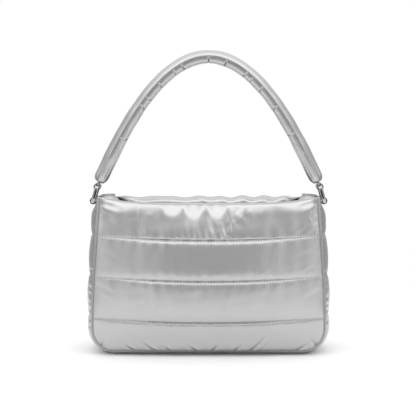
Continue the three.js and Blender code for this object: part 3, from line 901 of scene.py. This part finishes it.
def gusset_path(along):
    """The seam, straight, a quarter circle, then level: its x and z, the way out in both, and fullness."""
    side = np.where(along < 0, -1.0, 1.0)
    down = GUSSET_HALF - np.abs(along)
    turn = np.clip((down - SIDE_LENGTH) / CORNER, 0, pi / 2)
    on_base = np.clip(down - SIDE_LENGTH - CORNER_LENGTH, 0, None)
    z = np.where(down < SIDE_LENGTH, GUSSET_TOP - down, BASE_SEAM + CORNER * (1 - np.sin(turn)))
    upright = section(HALF_WIDTH, np.maximum(z, BASE_SEAM + CORNER))
    x = np.where(down < SIDE_LENGTH, upright, BASE_HALF + CORNER * np.cos(turn) - on_base)
    cell = np.clip(np.searchsorted(SIDE_LINES, z, "right") - 1, 0, 2)
    share = np.clip((z - SIDE_LINES[cell]) / np.diff(SIDE_LINES)[cell], 0, 1)
    full = np.where((cell == 2) & (share > 0.5), 1, fullness(share))
    below = np.clip((down - (GUSSET_TOP - SIDE_LINES[0])) / LINE_PUFF, 0, 1)
    full = np.where(z < SIDE_LINES[0], fullness(below / 2), full)
    return side * x, z, side * np.cos(turn), -np.sin(turn), full


print("gusset", round(2 * GUSSET_HALF), "mm long")

# %% The gusset's two faces
QUILT_NOTCH = 1.5  # how far a quilting line draws the gusset in
GUSSET_PADDING = 5.0
EDGE_PAD, EDGE_LENGTH = 2.5, 7.0  # padding added below the top edge, and the length over which it grows
PAD_START, PAD_FULL, THIN_START = 176, 187, 184  # heights between which it comes in, and where the rest ends
FOLD_START, FOLD_END, FOLD_DEPTH = 175.0, 196.0, 26.0
EDGE_START, CREST_RISE, BACK_DROP = 165.0, 2.0, 4.5  # the top edge rises to its middle, falls to the back
WELT = 3.0  # width of the narrow ridge that is stitched down beside each seam
WELT_HEIGHT, WELT_GROOVE = 1.1, 0.5  # height of that ridge, and depth of the groove along it


def gusset_face(along, y_share, outside, swell=1.0):
    """Outwards from the seam: a bulge 1 - |y|^3, drawn in at quilting lines, less a fold, plus welts."""
    x, z, out_x, out_z, full = gusset_path(along)
    edge = np.minimum(np.abs(y_share), 1)
    round_off = 1 - edge**3
    reach = round_off * (section(SIDE_BULGE, z) - QUILT_NOTCH * (1 - full)) * swell
    reach = reach - FOLD_DEPTH * smoothstep(z, FOLD_START, FOLD_END) * (1 - edge**2) ** 3
    top_edge = CREST_RISE * (1 - edge) - BACK_DROP * np.maximum(y_share, 0) ** 2
    seam_z = z + top_edge * smoothstep(z, EDGE_START, GUSSET_TOP)
    x = x + np.sign(along) * (section(HALF_WIDTH, seam_z) - section(HALF_WIDTH, z))
    half = section(HALF_DEPTH, seam_z) - (0 if outside else CLOTH) - SEAM_GAP / 2
    from_edge = (1 - edge) * half
    if outside:
        welt = smoothstep(from_edge, 0, 0.7) - smoothstep(from_edge, WELT - 0.7, WELT + 0.5)
        groove = np.exp(-(((from_edge - WELT - 0.9) / 0.8) ** 2))
        reach = reach + WELT_HEIGHT * welt - WELT_GROOVE * groove
    else:
        # The padding is thick inside the fold and thin at the top edge.
        folding = smoothstep(GUSSET_TOP, FOLD_START, FOLD_END) - smoothstep(z, FOLD_START, FOLD_END)
        pad = FOLD_DEPTH * folding + EDGE_PAD * np.clip((GUSSET_TOP - z) / EDGE_LENGTH, 0, 1)
        pad = pad * (1 - edge**2) ** 3 * smoothstep(z, PAD_START, PAD_FULL)
        thin = 1 - 0.9 * smoothstep(z, THIN_START, GUSSET_TOP)
        reach = reach - CLOTH - GUSSET_PADDING * round_off * full * thin - pad
    reach = reach + SEAM_GAP / 2
    return np.stack([x + out_x * reach, y_share * half, np.maximum(seam_z + out_z * reach, 0)], -1)


print("middle of the base:", gusset_face(np.zeros(1), np.zeros(1), True)[0].round(1))

# %% Let the gusset settle
GUSSET_TRIAL_ROWS, GUSSET_TRIAL_COLUMNS = 181, 25
GUSSET_FLAT, GUSSET_WAVE = 0.85, 0.25  # share of its bulge that it starts with, and height of its ripples
GUSSET_CUT = 1.04  # the cut is 4% longer than the gusset
# Points are held this near to a line, past this share of the way to a panel, and this near to the ends.
HELD_LINE, HELD_SHARE, HELD_END = 1.8, 0.9, 2.0
GUSSET_PRESSURE, GUSSET_CAP, GUSSET_WINDOW = 1000, 3.0, 21


def settled_gusset():
    """How far a trial grid of the gusset moves when it is blown up between its seams and lines."""
    along = np.linspace(-GUSSET_HALF, GUSSET_HALF, GUSSET_TRIAL_ROWS)
    y_share, along = np.meshgrid(np.linspace(-1, 1, GUSSET_TRIAL_COLUMNS), along)
    sewn = gusset_face(along, y_share, True, GUSSET_FLAT)
    width = run_along(gusset_face(along, y_share, True), 1)
    cut = np.stack([width, 0 * width, along * GUSSET_CUT], -1)
    z = gusset_path(along)[1]
    line = np.abs(z[..., None] - SIDE_LINES[:3]).min(-1) < HELD_LINE
    held = line | (np.abs(y_share) > HELD_SHARE) | (np.abs(along) > GUSSET_HALF - HELD_END)
    wave = GUSSET_WAVE * ripple(along + 14 * y_share, 5, 8, 9, 30) * ~held * np.sign(along)
    sewn[..., 0] += wave
    moved = settle("trial_gusset", sewn, cut, held, GUSSET_PRESSURE, GUSSET_CAP)
    moved[..., 0] += wave
    return moved


trial_wrinkles = wrinkles(settled_gusset().transpose(1, 0, 2), GUSSET_WINDOW)

# %% The gusset's outer face
GUSSET_ROWS = 520
PULL_HEIGHT, COMB_HEIGHT = 0.45, 0.25  # of the folds that run off a seam, and of the welt between stitches
PULL_AT, PULL_REACH = 6, 5  # how far from a seam those folds are highest, and how far they reach
# Shares across the strip: its points lie closer beside the seams, where the welts are.
edge_steps = np.array([0, 0.3, 0.7, 1.2, 1.8, 2.3, 2.7, 3.1, 3.6, 4.1, 4.8, 5.8, 7.2]) / 38
y_shares = np.concatenate([edge_steps - 1, np.linspace(-0.77, 0.77, 33), 1 - edge_steps[::-1]])
along = np.linspace(-GUSSET_HALF, GUSSET_HALF, GUSSET_ROWS)
along_grid, y_grid = np.meshgrid(along, y_shares, indexing="ij")
trial_rows = np.arange(GUSSET_ROWS) * (GUSSET_TRIAL_ROWS - 1) / (GUSSET_ROWS - 1)
trial_columns = (y_shares + 1) / 2 * (GUSSET_TRIAL_COLUMNS - 1)
moved = between_samples(trial_wrinkles.transpose(1, 0, 2), trial_rows)
moved = between_samples(moved.transpose(1, 0, 2), trial_columns).transpose(1, 0, 2)

_, seam_height, out_x, out_z, _ = gusset_path(along_grid)
from_edge = (1 - np.abs(y_grid)) * section(HALF_DEPTH, seam_height)
pull = ripple(along_grid + np.sign(y_grid) * 40, 17, 6, 5, 17)
pull = pull * np.exp(-np.abs(from_edge - PULL_AT) / PULL_REACH)
pull = pull * smoothstep(from_edge, WELT, WELT + 2) * PULL_HEIGHT
comb = 0.5 - 0.5 * np.cos(2 * pi * along_grid / STITCH)
comb = comb * hump(from_edge - WELT / 2, WELT / 2) * COMB_HEIGHT
outer = gusset_face(along_grid, y_grid, True) + moved
outer[..., 0] += out_x * (pull + comb)
outer[..., 2] += out_z * (pull + comb)
outer[..., 2] = np.maximum(outer[..., 2], 0)
print("gusset", np.ptp(outer[..., 0]).round(1), "mm wide over both sides")

# %% The gusset's inside and ends
GUSSET_INNER = 13  # points across the inner face
HEM_ROWS, HEM_RISE = 5, 1.3
inner = gusset_face(*np.meshgrid(along, np.linspace(1, -1, GUSSET_INNER), indexing="ij"), False)
outlines = np.concatenate([outer, inner], 1)
hem = np.linspace(0, 0.9, HEM_ROWS + 1)[1:, None, None] * pi / 2


def hemmed(end, centre):
    """Rows that round an end off: the outline shrinks as a cosine towards its middle and rises as a sine."""
    return centre + (end - centre) * np.cos(hem) + np.sin(hem) * np.array([0, 0, HEM_RISE])


def end_middle(row):
    """The middle between the two faces at one end of the gusset, for each point of its outline."""
    out, back = outer[row], between_samples(inner[row][::-1], (y_shares + 1) / 2 * (GUSSET_INNER - 1))
    core = (out + back) / 2
    lining = between_samples(core, (1 - np.linspace(-1, 1, GUSSET_INNER)) / 2 * (len(y_shares) - 1))
    return np.concatenate([core, lining])


first = hemmed(outlines[0], end_middle(0))
last = hemmed(outlines[-1], end_middle(-1))
gusset_points = np.concatenate([first[::-1], outlines, last])
print("gusset of", len(gusset_points), "outlines")

# %% Make the gusset
QUILT_WIDTH, WELT_EDGE = 1.4, 0.8  # widths of the painted shade along a quilting line, and along each edge of a welt
cut = np.stack([run_along(gusset_points, 1), run_along(gusset_points, 0)], -1)
# Painted shade along the quilting lines, at the seams and along the welts' stitched edges.
line = np.abs(seam_height[..., None] - SIDE_LINES[:3]).min(-1)
drawn = np.exp(-((line / QUILT_WIDTH) ** 2))
for edge in (0, WELT + 0.7):
    drawn = np.maximum(drawn, SIDE_SEAM_SHADE * np.exp(-(((from_edge - edge) / WELT_EDGE) ** 2)))
seam = np.zeros(gusset_points.shape[:2])
seam[HEM_ROWS : HEM_ROWS + GUSSET_ROWS, : len(y_shares)] = drawn
gusset = make_tube("quilted_gusset", gusset_points, cut, seam)
gusset.data.materials.append(quilted_cloth)
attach(gusset, "root")
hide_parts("gusset")

# %% [markdown]
# ## Rings
# Each end of the handle hangs on a ring of polished nickel wire, bent to a rectangle with rounded corners.
# A curve with a bevel could make it. Here the wire's outline, a rounded square, is carried round the
# rectangle by a formula, like every other piece: its flat face shows the dark lens between two bright edges.
# The ring is seen edge-on, because it stands in the plane of Y, and it leans in with the handle.

# %% Ring shape
RING_WIRE, RING_WIDTH, RING_HEIGHT, RING_CORNER = 5.0, 28.0, 18.0, 3.2
RING_TILT = radians(16)
RING_FOOT = np.array([142.5, 0, 187.7])
RING_HEAD = RING_FOOT + RING_HEIGHT * np.array([-sin(RING_TILT), 0, cos(RING_TILT)])
WIRE_SIDES, BEND_STEPS, WIRE_POWER = 32, 12, 0.35


def rounded(wave, power):
    """A cosine or sine, signed and raised to a power: one below 1 turns a circle into a rounded square."""
    return np.sign(wave) * np.abs(wave) ** power


def ring_points(side):
    """A rounded square of wire carried round a rounded rectangle: quarter bends, joined by straight wire."""
    bend = np.linspace(0, pi / 2, BEND_STEPS)
    turn = (bend + np.arange(4)[:, None] * pi / 2).ravel()
    high, low = RING_HEIGHT - RING_CORNER, RING_CORNER
    centre_y = np.repeat([1, -1, -1, 1], BEND_STEPS) * (RING_WIDTH / 2 - RING_CORNER)
    centre_h = np.repeat([high, high, low, low], BEND_STEPS)
    around = np.linspace(0, 2 * pi, WIRE_SIDES, endpoint=False)
    radius = RING_CORNER + RING_WIRE / 2 * rounded(np.cos(around), WIRE_POWER)
    y = centre_y[:, None] + np.cos(turn)[:, None] * radius
    height = centre_h[:, None] + np.sin(turn)[:, None] * radius
    flat_x = np.broadcast_to(RING_WIRE / 2 * rounded(np.sin(around), WIRE_POWER), y.shape)
    x = RING_FOOT[0] + flat_x * cos(RING_TILT) - height * sin(RING_TILT)
    z = RING_FOOT[2] + flat_x * sin(RING_TILT) + height * cos(RING_TILT)
    return np.stack([side * x, y, z], -1)


print("ring bars at", RING_FOOT.round(1), "and", RING_HEAD.round(1))

# %% Make the rings
SIDES = ((-1, "left"), (1, "right"))
nickel = bpy.data.materials.new("ring_metal")
tree = new_tree(nickel)
scuffs = Socket.node(tree, "ShaderNodeTexCoord", output="Object").noise(900.0, 3.0)
finish_surface(
    tree, {"Base Color": (0.45, 0.45, 0.455, 1), "Metallic": 1.0, "Roughness": 0.03 + scuffs * 0.05}
)
for side, label in SIDES:
    points = ring_points(side)
    faces = grid_faces(*points.shape[:2], wrap_rows=True, wrap_columns=True)
    ring = make_piece(f"nickel_ring_{label}", points, faces)
    ring.data.materials.append(nickel)
    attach(ring, "root")
    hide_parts(f"ring_{label}")

# %% [markdown]
# ## Loops and tabs
# A band of folded cloth holds each ring bar: a loop at the handle's end and a tab on the gusset. The band
# comes down one leg, round the bar and up the other leg. A plain block would hide that the ring can turn.
# So the band's outline, a flat rounded bar, is carried along its path, and the fold round the wire is real.

# %% The path of a band
LOOP_CLOTH = 1.2
WIRE_REACH = RING_WIRE / 2 * 2 ** ((1 - WIRE_POWER) / 2)  # from the wire's middle to its rounded corners
BAND_RADIUS = WIRE_REACH + SEAM_GAP / 2 + LOOP_CLOTH / 2
BAND_ARC = radians(140)  # how far the band stays on the bar, from its far side
CLOSING = 4.5  # how far the band goes on as it leaves the bar
CLOSED_AT = 6.6  # where the two legs meet, from the bar's middle


def band_path(leg):
    """Half of the band, then mirrored: an arc round the bar, a Hermite cubic inwards and a straight leg."""
    arc = np.linspace(0, BAND_ARC, 22)
    round_bar = BAND_RADIUS * np.stack([np.sin(arc), -np.cos(arc)], -1)
    t = np.linspace(0, 1, 9)[1:, None]
    start, end = round_bar[-1], np.array([LOOP_CLOTH / 2 + 0.05, min(CLOSED_AT, leg - 0.4)])
    leave, arrive = CLOSING * np.array([cos(BAND_ARC), sin(BAND_ARC)]), np.array([0, CLOSING])
    closing = (
        start * (2 * t**3 - 3 * t**2 + 1)
        + leave * (t**3 - 2 * t**2 + t)
        + end * (3 * t**2 - 2 * t**3)
        + arrive * (t**3 - t**2)
    )
    straight = np.stack([np.full(8, end[0]), np.linspace(end[1], leg, 9)[1:]], -1)
    half = np.concatenate([round_bar, closing, straight])
    return np.concatenate([half[:0:-1] * [-1, 1], half])


print("band radius", round(BAND_RADIUS, 2), "round the bar")

# %% Make the loops and tabs
LOOP_WIDTH, BAND_SIDES = 18.0, 28
TAB_LENGTH, TAB_LEAN = 13.0, radians(62)  # the tab lies back on the gusset's fold
HANDLE_LEG, LEG_LEAN = 6.2, radians(24)
BAND_EDGE_SHADE = 6.0  # painted shade along the edges of a band, as a value of seam


def band_points(leg, lean, centre, side):
    """A rounded flat outline carried along the band's path, turned by the lean and set on the bar."""
    path = band_path(leg)
    tangent = np.gradient(path, axis=0)
    tangent /= np.linalg.norm(tangent, axis=1, keepdims=True)
    normal = np.stack([tangent[:, 1], -tangent[:, 0]], -1)
    turn = np.linspace(0, 2 * pi, BAND_SIDES, endpoint=False)
    thick = (LOOP_CLOTH / 2 - 0.05) * rounded(np.sin(turn), 0.5)
    flat = path[:, None] + normal[:, None] * thick[None, :, None]
    x = flat[..., 0] * cos(lean) - flat[..., 1] * sin(lean)
    z = flat[..., 0] * sin(lean) + flat[..., 1] * cos(lean)
    y = np.broadcast_to(LOOP_WIDTH / 2 * rounded(np.cos(turn), 0.35), x.shape)
    points = np.stack([side * (centre[0] + x), y, centre[2] + z], -1)
    run = np.broadcast_to(run_along(path, 0)[:, None], x.shape)
    return points, np.stack([y, run], -1)


def make_band(name, node, leg, lean, centre, side):
    """One loop or tab, with painted shade along its edges."""
    points, cut = band_points(leg, lean, centre, side)
    from_middle = np.abs(cut[..., 0]) / (LOOP_WIDTH / 2)
    # Painted shade along the band's edges.
    piece = make_tube(name, points, cut, BAND_EDGE_SHADE * smoothstep(from_middle, 0.86, 0.98))
    piece.data.materials.append(handle_cloth)
    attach(piece, "root")
    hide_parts(node)


for side, label in SIDES:
    make_band(f"cloth_tab_{label}", f"ring_tab_{label}", TAB_LENGTH, TAB_LEAN, RING_FOOT, side)
    make_band(f"cloth_loop_{label}", f"handle_loop_{label}", HANDLE_LEG, LEG_LEAN, RING_HEAD, side)

# %% [markdown]
# ## Handle
# The handle is a stuffed tube bent into an arch. On the outside of the bend its cloth is taut. On the
# inside there is too much cloth, and it folds into short creases. A torus would be too even for it. The
# tube is an outline carried along the arch, pointed above its widest line and boxy below it, as a stuffed
# tube sags. The creases are grooves across its lower half, and near the ends it is drawn into flutes.

# %% The handle's arch
HANDLE_TOP, HANDLE_CURVE = 364.0, 0.0085
HANDLE_ROWS = 1200
HANDLE_END = RING_HEAD + (HANDLE_LEG + SEAM_GAP) * np.array([-sin(LEG_LEAN), 0, cos(LEG_LEAN)])
ARCH_FALL = HANDLE_TOP - HANDLE_END[2] - HANDLE_CURVE * HANDLE_END[0] ** 2


def arch_height(x):
    """The height of the arch: its top less a share of x^2 and a share of x^4."""
    return HANDLE_TOP - HANDLE_CURVE * x**2 - ARCH_FALL * (x / HANDLE_END[0]) ** 4


arch_x = np.linspace(-HANDLE_END[0], HANDLE_END[0], 4001)
arch_run = run_along(np.stack([arch_x, arch_height(arch_x)], -1), 0)
run = np.linspace(0, arch_run[-1], HANDLE_ROWS)
centre_x = np.interp(run, arch_run, arch_x)
centre_z = arch_height(centre_x)
slope = -2 * HANDLE_CURVE * centre_x - 4 * ARCH_FALL * centre_x**3 / HANDLE_END[0] ** 4
up_x, up_z = -slope / np.hypot(1, slope), 1 / np.hypot(1, slope)
from_end = np.minimum(run, arch_run[-1] - run)[:, None]
print("handle", round(float(arch_run[-1])), "mm along its middle")

# %% Creases and flutes of the handle
HANDLE_SIDES = 64
CREASE_WIDTH, SWELL_WIDTH = 0.55, 6.0  # of a groove, and of the low swelling on both sides of it
FLUTE_HEIGHT, FLUTE_REACH, SOFT_HEIGHT = 0.6, 34.0, 0.14
# Each crease: place across the bag, depth, how far it slants from front to back.
HANDLE_CREASES = [
    (-106, 0.7, -2),
    (-86, 1.4, 3),
    (-74, 0.7, -2),
    (-63, 1.6, 2),
    (-46, 1.2, 3),
    (-31, 2.2, -2),
    (0, 3.0, 0),
    (20, 2.6, 2),
    (44, 1.8, 3),
    (56, 1.0, -2),
    (69, 1.6, -3),
    (86, 1.7, -2),
    (103, 0.9, 2),
]
turn = np.linspace(0, 2 * pi, HANDLE_SIDES, endpoint=False)
inward = smoothstep(-np.cos(turn), -0.25, 0.45)
groove = 0
for at, deep, slant in HANDLE_CREASES:
    away = (centre_x[:, None] - at + slant * np.sin(turn)) * np.hypot(1, slope)[:, None]
    swell = 0.08 * np.exp(-((away / SWELL_WIDTH) ** 2))
    groove = groove + deep * (0.5 / (1 + (away / CREASE_WIDTH) ** 2) - swell)
flutes = ripple(turn * 9 / pi, 23, 4, 2.0, 4.5) * np.exp(-from_end / FLUTE_REACH) * FLUTE_HEIGHT
flutes = flutes * (0.35 + 0.65 * smoothstep(from_end, 0, 9))
soft = ripple(run, 29, 5, 26, 70)[:, None] * SOFT_HEIGHT
print(len(HANDLE_CREASES), "creases, the deepest", groove.max().round(2))

# %% The tube of the handle
HANDLE_THICK, HANDLE_DEEP = 17.6, 21.0
WIDEST_AT = 1.4  # how far above its middle the tube is widest
SAG, LEAN_IN = 0.12, 0.055  # how much flatter it is below, away from its ends, and narrower at its foot
ABOVE_POWER, BELOW_POWER = 1.25, 0.5
# Tapers towards the ends: lengths from an end, and the shares of the full size there.
TAPER_OUT = [0, 2, 6, 14], [0.62, 0.84, 0.97, 1]
TAPER_IN = [0, 4, 12, 24], [0.6, 0.82, 0.96, 1]
TAPER_DEEP = [0, 2, 6, 14], [0.78, 0.92, 0.985, 1]
taper_out, taper_in, taper_deep = (
    smooth_table(lengths, shares, np.minimum(from_end, lengths[-1]))
    for lengths, shares in (TAPER_OUT, TAPER_IN, TAPER_DEEP)
)
swelling = (flutes + soft - groove * inward) / (HANDLE_THICK / 2)
below = np.cos(turn) < 0
power = np.where(below, BELOW_POWER, ABOVE_POWER)
flat = 1 - SAG * smoothstep(from_end, 30, 120) * below
taper = np.where(below, taper_in, taper_out)
share = np.abs(np.cos(turn)) ** power
reach = np.where(below, -(HANDLE_THICK / 2 + WIDEST_AT) * flat, HANDLE_THICK / 2 - WIDEST_AT)
rise = WIDEST_AT * taper_out + reach * share * (taper + swelling)
lean_in = 1 - LEAN_IN * share * below
depth = HANDLE_DEEP / 2 * rounded(np.sin(turn), power) * lean_in * (taper_deep + swelling)
tube = np.stack(
    [centre_x[:, None] + up_x[:, None] * rise, depth, centre_z[:, None] + up_z[:, None] * rise], -1
)
print("tube up to", np.ptp(depth, axis=1).max().round(1), "mm deep")

# %% Make the handle
# Each closing ring: its share of the last outline, and how far in it lies.
dimple = np.array([[0.86, 0.2], [0.66, 1.2], [0.45, 2.6]])
CREASE_SHADE = 5.0  # painted shade in a crease, as a value of seam for each millimetre of its depth


def turned_in(end, centre, inwards):
    """Rings that close an end: the last outline, smaller and smaller, going back into the tube."""
    return centre + (end - centre) * dimple[:, :1, None] + inwards * dimple[:, 1:, None]


start = np.array([centre_x[0], 0, centre_z[0]])
stop = np.array([centre_x[-1], 0, centre_z[-1]])
into = np.array([up_z[0], 0, -up_x[0]])
first = turned_in(tube[0], start, into)
last = turned_in(tube[-1], stop, into * [-1, 1, 1])
points = np.concatenate([first[::-1], tube, last])
cut_run = np.concatenate([run[:1] - [3, 2, 1], run, run[-1:] + [1, 2, 3]])
cut = np.stack(np.broadcast_arrays(turn * HANDLE_THICK / 2, cut_run[:, None]), -1)
seam = np.zeros(points.shape[:2])
# Painted shade in the creases of the lower half.
seam[len(dimple) : -len(dimple)] = np.clip(groove, 0, 1.2) * inward * CREASE_SHADE
handle = make_tube("stuffed_handle", points, cut, seam)
handle.data.materials.append(handle_cloth)
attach(handle, "root")
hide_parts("handle")

# %% [markdown]
# ## Stitches
# The quilting is sewn with grey thread, one stitch every 3.4 mm. A picture of stitches would look flat from
# the side. Each stitch here is a short bead of thread whose two ends dive into the cloth, and hundreds of
# them share one small shape, set along each sewn line.

# %% Thread
thread = bpy.data.materials.new("grey_thread")
tree = new_tree(thread)
twist = Socket.node(tree, "ShaderNodeTexCoord", output="Object").noise(2500.0)
shade = mixed_colour(twist, (0.42, 0.42, 0.43), (0.58, 0.58, 0.59))
finish_surface(tree, {"Base Color": shade, "Roughness": 0.5})

# %% One stitch and many
STITCH_LENGTH, STITCH_THICK, BEAD_SIDES = 2.5, 0.6, 6
STITCH_SINK = 0.45  # how far the ends lie lower than the middle, in thicknesses
bead_at = np.array([-0.5, -0.46, -0.3, 0, 0.3, 0.46, 0.5])
bead_size = np.array([0.12, 0.6, 0.95, 1, 0.95, 0.6, 0.12])


def stitches_along(line, outward, lift):
    """Beads along a line of points: each is a row of circles that shrink and sink, as t^2, to its ends."""
    run = run_along(line, 0)
    places = np.arange(STITCH / 2, run[-1], STITCH)

    def read(values, at):
        """Values along the line, read between its points."""
        return np.stack([np.interp(at, run, values[:, k]) for k in range(3)], -1)

    centre, out = read(line, places), read(outward, places)
    ahead = read(line, places + 0.5) - centre
    ahead /= np.maximum(np.linalg.norm(ahead, axis=1, keepdims=True), 1e-9)
    beside = np.cross(out, ahead)
    turn = np.linspace(0, 2 * pi, BEAD_SIDES, endpoint=False)
    radius = STITCH_THICK / 2 * bead_size
    middle = lift - STITCH_SINK * (2 * bead_at) ** 2 * STITCH_THICK
    along = (STITCH_LENGTH * bead_at)[:, None] + 0 * turn
    upward = middle[:, None] + radius[:, None] * np.sin(turn)
    sideways = radius[:, None] * np.cos(turn)
    return (
        centre[:, None, None]
        + ahead[:, None, None] * along[None, ..., None]
        + out[:, None, None] * upward[None, ..., None]
        + beside[:, None, None] * sideways[None, ..., None]
    )


def make_stitches(name, beads):
    """One object of many beads: the faces of one bead, repeated with its points."""
    beads = np.concatenate(beads)
    count, rows, sides = beads.shape[:3]
    one = grid_faces(rows, sides, wrap_columns=True)
    faces = (one + np.arange(count)[:, None, None] * rows * sides).reshape(-1, 4)
    index = np.arange(count * rows * sides).reshape(count, rows, sides)
    caps = [*index[:, 0, ::-1], *index[:, -1]]
    piece = make_piece(name, beads, faces, caps)
    piece.data.materials.append(thread)
    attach(piece, "root")
    print(name, count, "stitches")


# %% Sew the lines
LIFT, WELT_LIFT = 0.35, 0.3  # how high a stitch stands over the cloth
WELT_POINTS, QUILT_POINTS = 900, 60
for face, side, label in ((front_face, -1, "front"), (back_face, 1, "back")):
    outward = np.broadcast_to(np.array([0.0, side, 0.0]), face[0].shape)
    lines = [stitches_along(face[k * ROWS], outward, LIFT) for k in (1, 2, 3)]
    make_stitches(f"{label}_stitches", lines)

along = np.linspace(-GUSSET_HALF + 2, GUSSET_HALF - 2, WELT_POINTS)
_, height, out_x, out_z, _ = gusset_path(along)
outward = np.stack([out_x, 0 * along, out_z], -1)
welts = []
for side in (-1, 1):
    y_share = side * (1 - WELT / 2 / section(HALF_DEPTH, height))
    welts.append(stitches_along(gusset_face(along, y_share, True), outward, WELT_LIFT))
make_stitches("welt_stitches", welts)

across_y = np.linspace(-0.88, 0.88, QUILT_POINTS)
quilting = []
for side in (-1, 1):
    for height in SIDE_LINES[:3]:
        along = np.full(QUILT_POINTS, side * (GUSSET_HALF - (GUSSET_TOP - height)))
        outward = np.broadcast_to(np.array([float(side), 0, 0]), (QUILT_POINTS, 3))
        quilting.append(stitches_along(gusset_face(along, across_y, True, 0.9), outward, LIFT))
make_stitches("gusset_stitches", quilting)
